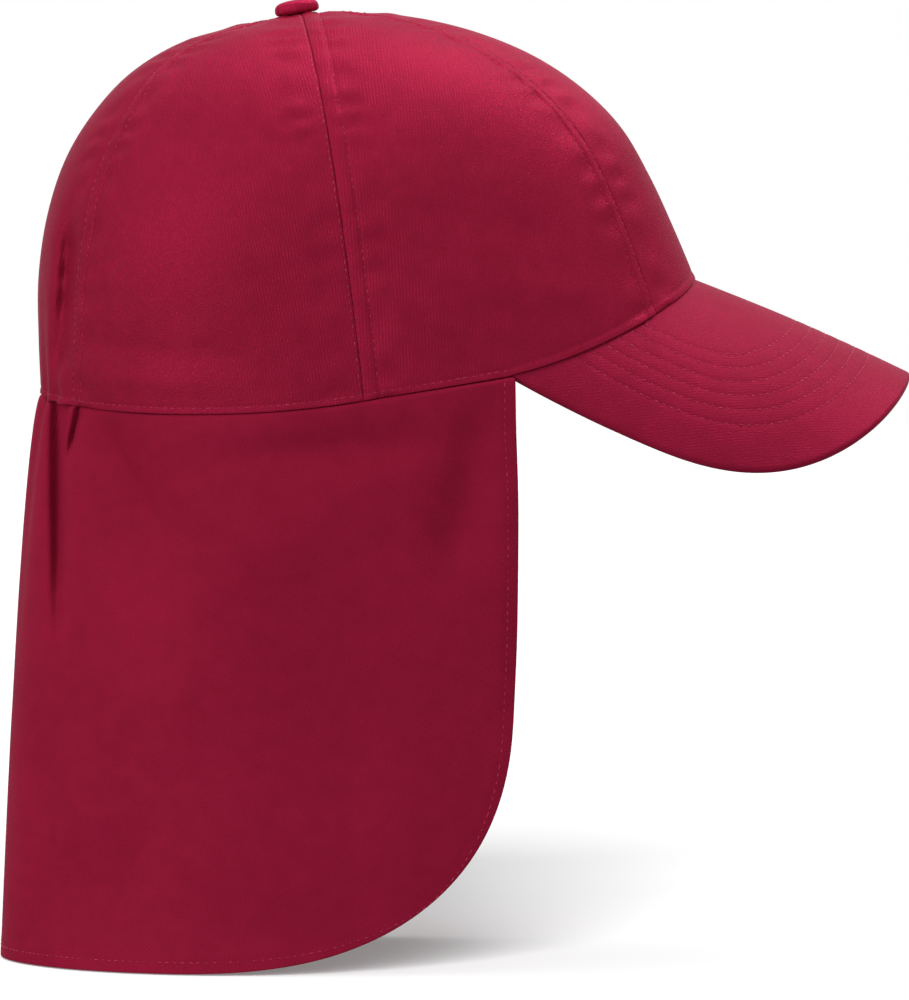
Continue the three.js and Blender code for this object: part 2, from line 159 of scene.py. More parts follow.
# Share of the crown wall's thinning at the rim that the flap moves out by
FLAP_FOLLOW = 0.85
FLAP_CORNER_RUN = 106.0
FLAP_CORNER_RISE = 82.0
FLAP_CORNER_FULLNESS = 2.4
FLAP_END_GAP = 0.6
FLAP_STEP_OUT = 2.3
FLAP_STEP_RUN = 0.35
FLAP_FLARE = 13.4
FLAP_FLARE_POWER = 0.55
FLAP_SIDE_STEP = 2.6
FLAP_SIDE_DRAW = 5.0
FLAP_EDGE_BOW = 3.0
FLAP_EDGE_CURL = 3.0
RIPPLE_DEPTH = 0.5
HEM_WIDTH = 6.5
HEM_STITCH = 3.6
HEM_RISE = 0.22
HEM_DIMPLE = 0.16
# Share of the hem's swell that also shows outside
HEM_OUTSIDE = 0.4
HEM_KICK = 1.6
# Depths of the net's last rows under the rim, where the flap steps out
FLAP_TOP_ROWS = (7.0, 5.3, 3.9, 2.8, 2.0, 1.4, 0.9, 0.45, 0.0)
# Folds: place, width and lean in degrees round the rim, depth and run as shares of the length
FLAP_FOLDS = (
    {"at": 167, "wide": 3.5, "deep": 0.03, "run": 0.75, "lean": 3},
    {"at": 157, "wide": 2.4, "deep": 0.02, "run": 0.4, "lean": 4},
    {"at": 146, "wide": 8, "deep": 0.014, "run": 0.8, "lean": -16},
    {"at": -173, "wide": 4.0, "deep": 0.012, "run": 0.6, "lean": 3},
    {"at": -160, "wide": 2.6, "deep": 0.014, "run": 0.5, "lean": -8},
    {"at": -138, "wide": 9, "deep": 0.008, "run": 0.8, "lean": -14},
)
FLAP_PLEATS = (
    {"from": (48, 300), "to": (55, 660), "wide": 2.2, "rise": -7.5},
    {"from": (79, 390), "to": (62, 466), "wide": 1.1, "rise": -6.0},
)
FLAP_CREASES = (
    {"from": (88, 420), "to": (150, 530), "wide": 4.5, "rise": -2.8},
    {"from": (145, 515), "to": (170, 610), "wide": 8.0, "rise": -1.4},
    {"from": (190, 462), "to": (470, 438), "wide": 6.0, "rise": -2.3},
    {"from": (150, 600), "to": (470, 440), "wide": 14.0, "rise": 1.9},
    {"from": (484, 405), "to": (448, 580), "wide": 7.0, "rise": -2.6},
    {"from": (505, 450), "to": (500, 700), "wide": 8.0, "rise": 1.2},
    {"from": (330, 560), "to": (300, 860), "wide": 26.0, "rise": -1.7},
    {"from": (40, 760), "to": (34, 935), "wide": 4.0, "rise": -2.0},
    {"from": (90, 560), "to": (190, 740), "wide": 16.0, "rise": 1.6},
    {"from": (60, 930), "to": (200, 780), "wide": 14.0, "rise": -1.8},
)
FAR_SIDE_SHARE = 0.75

# Thread
STITCH_PITCH = 2.5
STITCH_LENGTH = 1.75
STITCH_JITTER = 0.12
STITCH_LENGTHS = (0.6, 1.12)
STITCH_SKEW = 0.09
STITCH_SINK = (-1.0, 0.2)
THREAD_RADIUS = 0.18
THREAD_SIDES = 5
# Along a stitch: stations as shares of its length, and its thickness and lift there as shares
# of the thread's radius
STITCH_STATIONS = (-0.5, -0.4, -0.16, 0.16, 0.4, 0.5)
STITCH_THICKNESS = (0.0, 0.62, 1.0, 1.0, 0.62, 0.0)
STITCH_LIFT = (-0.8, -0.2, 0.45, 0.45, -0.2, -0.8)

CLEARANCE = 0.3
BUTTON_HOLE = SHANK_RADIUS + CLEARANCE
EDGE_SQUARENESS = 2.4

# Twill: its ribs, the scales of its noises to the metre, and what each adds to the tone
TWILL_PITCH = 1.0
TWILL_RELIEF = 0.34
TWILL_ROUGHNESS = 0.34
RIB_BEND = 1.6
GRAIN_SCALE = 2300.0
GRAIN_SQUEEZE = 0.75
SPARK_SCALE = 1900.0
SPARK_GAIN = 7.5
PATCH_SCALE = 150.0
CLOUD_SCALE = 24.0
RELIEF_TONE = 0.28
CLOUD_TONE = 0.34
PATCH_TONE = 0.14
THREAD_NOISE_SCALE = 420.0

# Colours
DEEP_RED = (0.215, 0.0075, 0.027)
LIGHT_RED = (0.33, 0.012, 0.044)
# The peak's reds are the crown's cloth made darker: painted shade on the peak
PEAK_SHADED_DEEP_RED = (0.19, 0.0066, 0.025)
PEAK_SHADED_LIGHT_RED = (0.292, 0.0106, 0.041)
# The button's reds are the crown's cloth made lighter: painted light on the top of the cap
BUTTON_LIT_DEEP_RED = (0.30, 0.009, 0.040)
BUTTON_LIT_LIGHT_RED = (0.44, 0.016, 0.06)
# The thread's reds are a little lighter than the cloth's; their pinker light end, scattered from
# stitch to stitch, is painted highlight on the beads
THREAD_DEEP_RED = (0.27, 0.010, 0.038)
THREAD_HIGHLIGHT_RED = (0.45, 0.035, 0.09)
PINK_SHINE = (1.0, 0.4, 0.55, 1.0)
FLOOR_GREY = (0.55, 0.55, 0.553, 1.0)
FLOOR_GLOW = 0.17
# Greys of the dome at a share of the way from level up to overhead
DOME_GREYS = ((0.0, (0.52, 0.52, 0.52)), (0.9, (0.88, 0.88, 0.88)))

# Camera and floor
CAMERA_AIM = (32.2, 0.0, -49.7)
CAMERA_DISTANCE = 3000.0
CAMERA_ELEVATION = math.radians(2.0)
PIXELS_PER_MM = 3.18
IMAGE_WIDTH = 909
IMAGE_HEIGHT = 1000
# How much larger and lower the near side looks than the middle
NEAR_SCALE = 1.027
NEAR_DROP = 2.8
FLOOR_HEIGHT = -193.3
FLOOR_HALF = 6000.0

# Lights: name, azimuth, elevation, strength and spread, with the angles in degrees
CAP_LIGHTS = (
    ("top_light", 125.0, 62.0, 2.1, 24.0),
    ("crown_light", -153.0, 62.0, 0.7, 14.0),
    ("back_light", -54.0, 18.0, 1.5, 50.0),
    ("front_light", 72.0, 24.0, 0.2, 40.0),
    ("ridge_light", 150.0, 40.0, 0.5, 30.0),
)
FLOOR_LIGHT = ("floor_light", -4.3, 17.0, 11.0, 24.0)


def spline(values, share):
    """A smooth curve through evenly spaced values. Between two of them it is the cubic whose
    slope at each is half the difference of that value's two neighbours."""
    knots = np.asarray(values, float)
    last = len(knots) - 1
    place = np.clip(share, 0, 1) * last
    start = np.minimum(place.astype(int), last - 1)
    t = place - start
    before = knots[np.maximum(start - 1, 0)]
    low = knots[start]
    high = knots[start + 1]
    after = knots[np.minimum(start + 2, last)]
    slope_low = (high - before) / 2
    slope_high = (after - low) / 2
    cubic = 2 * low - 2 * high + slope_low + slope_high
    square = 3 * high - 3 * low - 2 * slope_low - slope_high
    return ((cubic * t + square) * t + slope_low) * t + low


def bump(distance, width):
    """A bell of height 1: e to the power of minus the square of distance over width."""
    return np.exp(-((distance / width) ** 2))


def step_up(value, low, high):
    """0 below low and 1 above high, with the cubic 3t^2 - 2t^3 between them."""
    t = np.clip((value - low) / (high - low), 0, 1)
    return t * t * (3 - 2 * t)


def creases(lines, x, z, side):
    """Soft creases and swells seen from the side. Each lies along a line between two pixels of
    the photograph: a bell across it, faded in from a little beyond one end and out again at the
    other. The far side has them a little weaker."""
    total = np.zeros(np.broadcast(x, z).shape)
    for line in lines:
        (x0, z0), (x1, z1) = (from_pixel(*line[end]) for end in ("from", "to"))
        length = math.hypot(x1 - x0, z1 - z0)
        ahead_x, ahead_z = (x1 - x0) / length, (z1 - z0) / length
        run = ((x - x0) * ahead_x + (z - z0) * ahead_z) / length
        off = (x - x0) * -ahead_z + (z - z0) * ahead_x
        fade = step_up(run, -0.15, 0.3) * step_up(1 - run, -0.15, 0.3)
        total = total + line["rise"] * fade * bump(off, line["wide"])
    return total * np.where(side > 0, FAR_SIDE_SHARE, 1.0)


def from_pixel(across, down):
    """Row-frame X and Z of a pixel for a point on the near side of the cap, which looks larger
    and lower from the camera than the middle does."""
    near = PIXELS_PER_MM * NEAR_SCALE
    x = CAMERA_AIM[0] + (across - IMAGE_WIDTH / 2) / near
    return x, CAMERA_AIM[2] + (IMAGE_HEIGHT / 2 - down) / near + NEAR_DROP


def rolled(distance, radius):
    """Share of the full wall at a distance from a rounded edge: a quarter of a squarish
    superellipse that starts at 0 on the edge and reaches 1 at the radius."""
    left = 1 - np.clip(distance / radius, 0, 1)
    return (1 - left ** EDGE_SQUARENESS) ** (1 / EDGE_SQUARENESS)


def edge_steps(radius, count=4):
    """Distances from an edge at even turns of its quarter round."""
    return radius * (1 - np.cos(np.linspace(0, math.pi / 2, count + 1)))


def crowded(length, radius, fine_to, fine, coarse):
    """Places from 0 to length in millimetres: quarter-round steps at both ends, fine steps up
    to fine_to from each end and coarse ones between."""
    start = np.concatenate([edge_steps(radius), np.arange(radius + fine, fine_to, fine)])
    middle = np.linspace(start[-1], length - start[-1], max(3, int(length / coarse)))
    return np.concatenate([start[:-1], middle, (length - start[:-1])[::-1]])


def worn(x, y, z):
    """Turns a point of the crown's own frame back by the tilt of the worn cap."""
    cos, sin = math.cos(WEAR_TILT), math.sin(WEAR_TILT)
    return np.stack(np.broadcast_arrays(x * cos - z * sin, y, x * sin + z * cos), -1)


def plan_reach(angle):
    """The rim's oval: where a ray at the angle meets |x/a|^p + |y/b|^p = 1, with one length
    and power ahead of the axis and another behind it."""
    ahead = np.cos(angle) > 0
    power = np.where(ahead, FRONT_BLUNTNESS, BACK_BLUNTNESS)
    along = np.abs(np.cos(angle)) / np.where(ahead, FRONT_REACH, BACK_REACH)
    across = np.abs(np.sin(angle)) / HALF_WIDTH
    return (along ** power + across ** power) ** (-1 / power)


def peak_height(x, y, lift):
    """Height of the peak's top over a plan point: a cylinder whose axis slopes down ahead."""
    drop = PEAK_BEND_RADIUS - np.sqrt(np.maximum((PEAK_BEND_RADIUS + lift) ** 2 - y ** 2, 0))
    return -(drop + (x - FRONT_REACH) * math.sin(PEAK_SLOPE)) / math.cos(PEAK_SLOPE)


def peak_camber(over):
    """How far the peak's middle stands above the plain cylinder: a bell across it."""
    return PEAK_CAMBER * bump(over, PEAK_CAMBER_WIDTH)


FLAP_START = PEAK_HALF_ANGLE + FLAP_END_GAP / float(plan_reach(np.array(PEAK_HALF_ANGLE)))
END_REACH = float(plan_reach(np.array(FLAP_START)))
RIM_DIP = float(
    peak_height(END_REACH * math.cos(FLAP_START), END_REACH * math.sin(FLAP_START), CLEARANCE)
)


def rim_height(angle, reach):
    """The crown's lower edge: on the peak in front, level to the sides, then climbing to the
    back as a power of the angle's sine."""
    turn = np.abs(angle)
    over = reach * np.sin(turn)
    on_peak = peak_height(reach * np.cos(turn), over, CLEARANCE + peak_camber(over))
    behind = RIM_DIP * np.abs(np.sin(turn)) ** RIM_DIP_POWER
    level = np.where(turn < math.pi / 2, RIM_DIP, behind)
    return np.where(turn <= FLAP_START, on_peak, level)


def seam_angle(seam, rise):
    """A seam's place round the axis, bowed forward by a half sine from rim to top. All its way
    up it also lies a fixed length ahead of that, or behind it where negative."""
    angle, bow, ahead = SEAMS[seam]
    share = np.clip(rise, 0, 1)
    reach = BUTTON_HOLE + (HALF_WIDTH - BUTTON_HOLE) * spline(SECTION_OUT["side"], share)
    return angle - bow * np.sin(math.pi * share) - ahead / np.hypot(reach, SEAM_MEETING)


def place_across(angle, rise):
    """Where an angle lies across its panel, from 0 at one seam to 1 at the next."""
    turn = np.abs(angle)
    front, side, rear = (seam_angle(name, rise) for name in ("front", "side", "rear"))
    return np.select(
        [turn < front, turn < side, turn < rear],
        [0.5 + 0.5 * turn / front, (turn - front) / (side - front), (turn - side) / (rear - side)],
        0.5 * (turn - rear) / (math.pi - rear),
    )


def soft_dents(angle, rise):
    """Slow unevenness of worn cloth: the mean of five sine waves round and up the crown."""
    waves = ((2.0, 3.1, 0.4), (3.0, -4.3, 2.1), (5.0, 2.2, 4.0), (-4.0, 6.1, 1.3), (7.0, 5.2, 5.5))
    total = sum(np.sin(k * angle + m * rise + phase) for k, m, phase in waves)
    return DENT_DEPTH * total / len(waves)


def panel_hollow(rise, place):
    """How far a panel falls back from its bulge towards its seams: one less a power of a half
    sine across it, deepest about half way up."""
    fullness = np.sin(math.pi * np.minimum(1, rise * 1.1)) ** 0.8
    fullness = RIM_FULLNESS + (1 - RIM_FULLNESS) * fullness
    return PANEL_BULGE * fullness * (1 - np.sin(math.pi * place) ** 0.7)


def rear_gathers(angle, rise, place):
    """How far the gathers of the rear panel's elastic edge stand out: a cosine wave across the
    panel that fades by the square of the way up."""
    in_rear = np.abs(angle) > seam_angle("rear", rise)
    fade = np.maximum(0, 1 - rise / GATHER_RUN) ** 2
    across = np.where(angle > 0, place, 1 - place)
    wave = 0.5 - 0.5 * np.cos(2 * math.pi * GATHER_COUNT * across)
    return np.where(in_rear, GATHER_DEPTH * fade * wave, 0)


def crown_base(angle, rise):
    """Reach from the axis and share of the height of the crown before its seams are dressed:
    the section's splines for side and end are blended by the square of the angle's cosine."""
    ahead = np.cos(angle) ** 2
    in_front = np.cos(angle) > 0
    out_end = np.where(in_front, spline(SECTION_OUT["front"], rise), spline(SECTION_OUT["back"], rise))
    up_end = np.where(in_front, spline(SECTION_UP["front"], rise), spline(SECTION_UP["back"], rise))
    out = spline(SECTION_OUT["side"], rise) * (1 - ahead) + out_end * ahead
    up = spline(SECTION_UP["side"], rise) * (1 - ahead) + up_end * ahead
    place = np.clip(place_across(angle, rise), 0, 1)
    reach = BUTTON_HOLE + (plan_reach(angle) - BUTTON_HOLE) * out
    reach = reach - panel_hollow(rise, place) * np.minimum(1, out * 3)
    return reach + rear_gathers(angle, rise, place), up


def crown_line(angle, rise):
    """Reach and height of the crown's outer face, from the rim up to the button's hole."""
    reach, up = crown_base(angle, rise)
    rim = rim_height(angle, crown_base(angle, np.zeros_like(rise))[0])
    return reach, rim + (CROWN_HEIGHT - rim) * up


def seam_puckers(rise, aside, wide):
    """Puckers on both sides of a seam: a sine up the seam that runs faster and slower with a
    second, slow one, under a bell just outside the strip."""
    up = rise * SEAM_RUN
    wave = np.sin(up * 0.62 + 1.6 * np.sin(up * 0.17) + np.sign(aside))
    return PUCKER_DEPTH * wave * bump(np.abs(aside) - wide - 2.5, 4.5)


def crown_dressing(angle, rise, reach, height):
    """How far the finished face stands off the plain one: a raised strip beside each seam, a
    dimple under each stitch row, puckers, soft creases, the turned rim and slow dents."""
    off = soft_dents(angle, rise) * np.sin(math.pi * np.clip(rise, 0, 1)) ** 0.5
    for seam, (near_row, far_row) in SEAM_ROWS.items():
        aside = (np.abs(angle) - seam_angle(seam, rise)) * reach
        strip = aside * np.sign(far_row)
        wide = abs(far_row)
        on_strip = step_up(strip, -0.1, 0.5) * (1 - step_up(strip, wide - 1.0, wide + 0.5))
        off = off + STRIP_RISE * on_strip
        off = off - STITCH_DIMPLE * bump(strip - wide, 0.7)
        off = off - SEAM_DIMPLE * bump(strip - abs(near_row), 0.5)
        off = off - SEAM_DIMPLE * bump(aside, 0.6)
        off = off + seam_puckers(rise, aside, wide)
    plain = worn(reach * np.cos(angle), reach * np.sin(angle), height)
    off = off + creases(CROWN_CREASES, plain[..., 0], plain[..., 2], np.sin(angle))
    over_rim = height - rim_height(angle, reach)
    turned = 1 - step_up(over_rim, RIM_STITCH_HEIGHT - 0.8, RIM_STITCH_HEIGHT + 1.5)
    return off + RIM_RISE * turned - RIM_DIMPLE * bump(over_rim - RIM_STITCH_HEIGHT, 0.7)


def crown_frame(angle, rise):
    """Reach, height and the outward direction of the plain face in the plane of the axis,
    from the slope between two stations close together."""
    step = 0.004
    reach, height = crown_line(angle, rise)
    low_reach, low_height = crown_line(angle, np.clip(rise - step, 0, 1))
    high_reach, high_height = crown_line(angle, np.clip(rise + step, 0, 1))
    run, climb = high_reach - low_reach, high_height - low_height
    length = np.hypot(run, climb)
    return reach, height, climb / length, -run / length


def crown_face(angle, rise, inset=0.0):
    """A point of the crown's finished outer face, or inset into the cloth. At the rim the inset
    follows the slope of what the rim stands on, and higher up the face's own direction. The
    wrinkles at the back sink straight inwards."""
    reach, height, out, up = crown_frame(angle, rise)
    off = crown_dressing(angle, rise, reach, height)
    rim_reach = crown_base(angle, np.zeros_like(rise))[0]
    slope = (rim_height(angle, rim_reach) - rim_height(angle, rim_reach - PANEL_WALL)) / PANEL_WALL
    near_rim = bump(height - rim_height(angle, reach), 3.0)
    out_dir = out * (1 - near_rim) + near_rim
    up_dir = up * (1 - near_rim) + slope * near_rim
    far_reach = reach + off * out - inset * out_dir
    far_height = height + off * up * (1 - near_rim) - inset * up_dir
    point = worn(far_reach * np.cos(angle), far_reach * np.sin(angle), far_height)
    pleat = creases(CROWN_PLEATS, point[..., 0], point[..., 2], np.sin(angle))
    point[..., 1] += pleat * np.tanh(4 * np.sin(angle))
    return point


def arc_lengths(points, axis):
    """Length run along one axis of a grid of points, 0 at its first line."""
    steps = np.linalg.norm(np.diff(points, axis=axis), axis=-1)
    start = np.zeros_like(np.take(steps, [0], axis=axis))
    return np.cumsum(np.concatenate([start, steps], axis=axis), axis=axis)


def cloth_piece(name, points, faces, uv, material):
    """Puts whole arrays into a mesh: points in millimetres, faces of four corners, of which a
    triangle has the last one doubled, and one UV place in metres for each point. Faces are
    turned round if they enclose a negative volume, so that they point outwards."""
    corners = points[faces[:, :3]]
    volume = np.einsum("ij,ij->i", corners[:, 0], np.cross(corners[:, 1], corners[:, 2])).sum()
    has_triangles = (faces[:, 2] == faces[:, 3]).any()
    loops = (faces[:, ::-1] if volume < 0 else faces).tolist()
    if has_triangles:
        loops = [list(dict.fromkeys(loop)) for loop in loops]
    mesh = bpy.data.meshes.new(name)
    mesh.from_pydata((points * MM).tolist(), [], loops)
    layer = mesh.uv_layers.new(name="cloth")
    corner_points = np.empty(len(mesh.loops), np.int32)
    mesh.loops.foreach_get("vertex_index", corner_points)
    layer.data.foreach_set("uv", uv[corner_points].astype(np.float32).ravel())
    mesh.polygons.foreach_set("use_smooth", np.ones(len(mesh.polygons), bool))
    mesh.materials.append(material)
    mesh.update()
    piece = bpy.data.objects.new(name, mesh)
    bpy.context.scene.collection.objects.link(piece)
    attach(piece, "root")
    return piece


def grid_quads(index):
    """The four-cornered faces of a grid of point numbers."""
    quads = np.stack([index[:-1, :-1], index[1:, :-1], index[1:, 1:], index[:-1, 1:]], -1)
    return quads.reshape(-1, 4)


def rolled_sheet(name, outer, inner, uv, material):
    """A closed sheet of cloth between two grids that meet along all four edges. The inner grid
    shares the outer one's edge points."""
    columns, rows = outer.shape[:2]
    face_index = np.arange(columns * rows).reshape(columns, rows)
    back_index = face_index.copy()
    inside = (columns - 2) * (rows - 2)
    back_index[1:-1, 1:-1] = columns * rows + np.arange(inside).reshape(columns - 2, rows - 2)
    points = np.concatenate([outer.reshape(-1, 3), inner[1:-1, 1:-1].reshape(-1, 3)])
    places = np.concatenate([uv.reshape(-1, 2), uv[1:-1, 1:-1].reshape(-1, 2)])
    faces = np.concatenate([grid_quads(face_index), grid_quads(back_index)[:, ::-1]])
    return cloth_piece(name, points, faces, places, material)


def panel_net(start, finish):
    """Angle and share of the height at every point of a panel's net. Its rows run from the rim
    up to the button's hole, and its columns stand at fixed shares of the way from seam to seam,
    half a gap inside both."""
    shares_up = crowded(CROWN_RUN, RIM_ROUND, fine_to=5.5, fine=0.5, coarse=1.6) / CROWN_RUN
    rise = shares_up[None, :]
    first = start[0] * seam_angle(start[1], rise)
    last = finish[0] * seam_angle(finish[1], rise)
    last = np.where(last > first, last, last + 2 * math.pi)
    reach_along = crown_line(first, rise)[0]
    gap = SEAM_GAP / 2 / reach_along
    width = float(((last - first) * reach_along)[0, 0])
    shares = (crowded(width, SEAM_ROUND, fine_to=8.0, fine=0.5, coarse=1.4) / width)[:, None]
    angle = (first + gap) + (last - first - 2 * gap) * shares
    angle = np.where(angle > math.pi, angle - 2 * math.pi, angle)
    return angle, np.broadcast_to(rise, angle.shape)


def panel_wall(across, along):
    """Depth of the cloth's middle under its face, and half its wall. Both are less near the rim
    by a cubic step, and the wall falls to nothing over a quarter round at every edge."""
    middle = PANEL_WALL * (RIM_THIN + (1 - RIM_THIN) * step_up(along, 0.0, RIM_THIN_RUN)) / 2
    wall = middle * rolled(across, SEAM_ROUND) * rolled(across[-1:] - across, SEAM_ROUND)
    wall = wall * rolled(along, RIM_ROUND) * rolled(along[:, -1:] - along, RIM_ROUND)
    return middle, wall


def crown_panel(name, start, finish, material):
    """One panel of the crown: a rolled sheet on its net. Its UV place is measured from the side
    seam, or else from its first seam, so that the ribs follow that seam."""
    angle, rise = panel_net(start, finish)
    outer = crown_face(angle, rise)
    across = arc_lengths(outer, 0)
    along = arc_lengths(outer, 1)
    middle, wall = panel_wall(across, along)
    from_side_seam = across[-1:] - across if finish[1] == "side" else across
    uv = np.stack([from_side_seam, along], -1) * MM
    front = crown_face(angle, rise, middle - wall)
    back = crown_face(angle, rise, middle + wall)
    piece = rolled_sheet(name + "_cloth", front, back, uv, material)
    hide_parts(name)


def stitch_bars(points, outward, seed):
    """Thread along a path: at every pitch a short round bar whose ends dip into the cloth and
    whose middle lies on it, a little uneven in place, length, turn and depth. The points of a
    bar are a ring of sides at four stations and then its two tips."""
    draw = np.random.default_rng(seed)
    run = arc_lengths(points, 0)
    count = max(1, int(run[-1] / STITCH_PITCH))
    centres = (np.arange(count) + 0.5) * run[-1] / count
    centres = centres + draw.uniform(-STITCH_JITTER, STITCH_JITTER, count)
    stations = np.array(STITCH_STATIONS)
    thickness = np.array(STITCH_THICKNESS) * THREAD_RADIUS
    lift = np.array(STITCH_LIFT) * THREAD_RADIUS
    lengths = stations[None, :] * STITCH_LENGTH * draw.uniform(*STITCH_LENGTHS, (count, 1))
    at = centres[:, None] + lengths
    path = np.stack([np.interp(at, run, points[:, k]) for k in range(3)], -1)
    up = np.stack([np.interp(at, run, outward[:, k]) for k in range(3)], -1)
    up /= np.linalg.norm(up, axis=-1, keepdims=True)
    ahead = path[:, -1:] - path[:, :1]
    ahead = ahead / np.linalg.norm(ahead, axis=-1, keepdims=True)
    side = np.cross(up, ahead)
    side /= np.linalg.norm(side, axis=-1, keepdims=True)
    skew = draw.uniform(-STITCH_SKEW, STITCH_SKEW, (count, 1, 1))
    skew = skew * stations[None, :, None] * STITCH_LENGTH
    sunk = draw.uniform(*STITCH_SINK, (count, 1, 1)) * THREAD_RADIUS
    path = path + up * (lift[None, :, None] + sunk) + side * skew
    turn = 2 * math.pi * np.arange(THREAD_SIDES) / THREAD_SIDES
    ring = thickness[None, 1:-1, None, None] * (
        up[:, 1:-1, None] * np.cos(turn)[None, None, :, None]
        + side[:, 1:-1, None] * np.sin(turn)[None, None, :, None]
    )
    rings = path[:, 1:-1, None] + ring
    return np.concatenate([rings.reshape(count, -1, 3), path[:, [0, -1]]], 1)


def stitch_faces():
    """The faces of one bar by its point numbers: quads between its rings and a fan at each tip,
    whose triangles have the tip as a doubled corner."""
    rings = len(STITCH_STATIONS) - 2
    index = np.arange(rings * THREAD_SIDES).reshape(rings, THREAD_SIDES)
    loop = np.concatenate([index, index[:, :1]], 1)
    tip = np.full(THREAD_SIDES, rings * THREAD_SIDES)
    first_fan = np.stack([loop[0, 1:], loop[0, :-1], tip, tip], -1)
    last_fan = np.stack([loop[-1, :-1], loop[-1, 1:], tip + 1, tip + 1], -1)
    return np.concatenate([grid_quads(loop)[:, ::-1], first_fan, last_fan])


def thread_piece(name, rows, material):
    """Joins the stitches of several rows in one mesh. The faces are repeated for each bar by
    adding its first point number."""
    bars = np.concatenate([stitch_bars(*row, seed=11 + k) for k, row in enumerate(rows)])
    start = bars.shape[1] * np.arange(len(bars))
    faces = (stitch_faces()[None] + start[:, None, None]).reshape(-1, 4)
    points = bars.reshape(-1, 3)
    uv = np.stack([points[:, 0], points[:, 2]], -1) * MM
    return cloth_piece(name, points, faces, uv, material)


def crown_normal(angle, rise):
    """Outward direction of the finished crown, from the cross product of two short steps."""
    step = 0.002
    around = crown_face(angle + step, rise) - crown_face(angle - step, rise)
    above = crown_face(angle, np.minimum(rise + step, 1))
    below = crown_face(angle, np.maximum(rise - step, 0))
    normal = np.cross(around, above - below)
    return normal / np.linalg.norm(normal, axis=-1, keepdims=True)


def seam_row(side, seam, offset):
    """A topstitch row beside a seam, at a fixed distance round the crown from it."""
    rise = np.linspace(*SEAM_ROW_ENDS, 260)
    bare = side * seam_angle(seam, rise)
    reach = crown_line(bare, rise)[0]
    angle = bare + offset / reach
    return crown_face(angle, rise), crown_normal(angle, rise)


def rim_row(side):
    """The row along the rim from the peak's end to the middle of the back, at a fixed height
    over the rim by the slope of the crown's first share."""
    first_share = 0.03
    angle = side * np.linspace(FLAP_START + 0.012, math.pi - 0.002, 700)
    edge = crown_line(angle, np.zeros_like(angle))[1]
    high = crown_line(angle, np.full_like(angle, first_share))[1]
    rise = first_share * RIM_STITCH_HEIGHT / (high - edge)
    return crown_face(angle, rise), crown_normal(angle, rise)


def peak_point(along, over, depth):
    """A point of the peak from its place on the flat cut: the cut is bent round a cylinder
    whose axis slopes down ahead, and raised by the camber and by a half sine along the middle."""
    turn = over / PEAK_BEND_RADIUS
    arch = PEAK_ARCH * np.sin(math.pi * np.clip(along / PEAK_LENGTH, 0, 1))
    camber = arch * bump(over, PEAK_ARCH_WIDTH) + peak_camber(over)
    radius = PEAK_BEND_RADIUS - depth + camber
    drop = PEAK_BEND_RADIUS - radius * np.cos(turn)
    x = FRONT_REACH + along * math.cos(PEAK_SLOPE) - drop * math.sin(PEAK_SLOPE)
    z = -along * math.sin(PEAK_SLOPE) - drop * math.cos(PEAK_SLOPE)
    return worn(x, radius * np.sin(turn), z)


def peak_cut_under(angle, reach):
    """The place on the flat cut over a plan point of the crown."""
    x, y = reach * np.cos(angle), reach * np.sin(angle)
    height = peak_height(x, y, 0)
    along = (x - FRONT_REACH) * math.cos(PEAK_SLOPE) - height * math.sin(PEAK_SLOPE)
    return along, PEAK_BEND_RADIUS * np.arcsin(y / PEAK_BEND_RADIUS)


END_ALONG, END_OVER = (
    float(v) for v in peak_cut_under(np.array(PEAK_HALF_ANGLE), plan_reach(np.array(PEAK_HALF_ANGLE)))
)


def peak_band(inward):
    """Sizes of the line that lies inward of the outer edge: its tip, half width, the place
    where its side turns into its round front, and how far its side spreads at the crown. The
    half width and that place change by powers of the share of the way in."""
    tip = PEAK_LENGTH - inward
    deep = inward / PEAK_DEEP
    half = PEAK_HALF_WIDTH - inward - PEAK_NARROWING * deep ** PEAK_NARROWING_POWER
    shoulder = -PEAK_SHOULDER_SHIFT * deep ** 3
    spread = END_OVER + PEAK_END_PROUD - PEAK_HALF_WIDTH
    spread = spread - PEAK_SPREAD_LOSS * step_up(inward, 0, PEAK_SPREAD_RUN)
    return tip, half, shoulder, spread


def peak_side(inward, along):
    """Half width of a band's side behind its shoulder, which spreads by the square of the way
    back to the crown."""
    _, half, shoulder, spread = peak_band(inward)
    back = np.clip((shoulder - along) / (shoulder - END_ALONG), 0, 1.4)
    return half + spread * back ** 2


def peak_line_starts(inward):
    """How far along the cut each line starts: where its side meets the edge tucked under the
    crown, read off a table of the lines that meet that edge."""
    turn = np.linspace(0, PEAK_HALF_ANGLE, 400)
    edge_along, edge_over = peak_cut_under(turn, plan_reach(turn) - PEAK_TUCK)
    table = np.linspace(0, PEAK_DEEP - 0.4, 300)
    misfit = peak_side(table[:, None], edge_along[None, :]) - edge_over[None, :]
    meets = np.array([np.interp(0.0, -misfit[:, k], table) for k in range(len(turn))])
    order = np.argsort(meets)
    return np.interp(inward, meets[order], edge_along[order])


def evenly_read(values, run, count):
    """Each column of values, read off at even shares of its run."""
    shares = np.linspace(0, 1, count)
    return np.stack([np.interp(shares * r[-1], r, v) for r, v in zip(run.T, values.T)], 1)


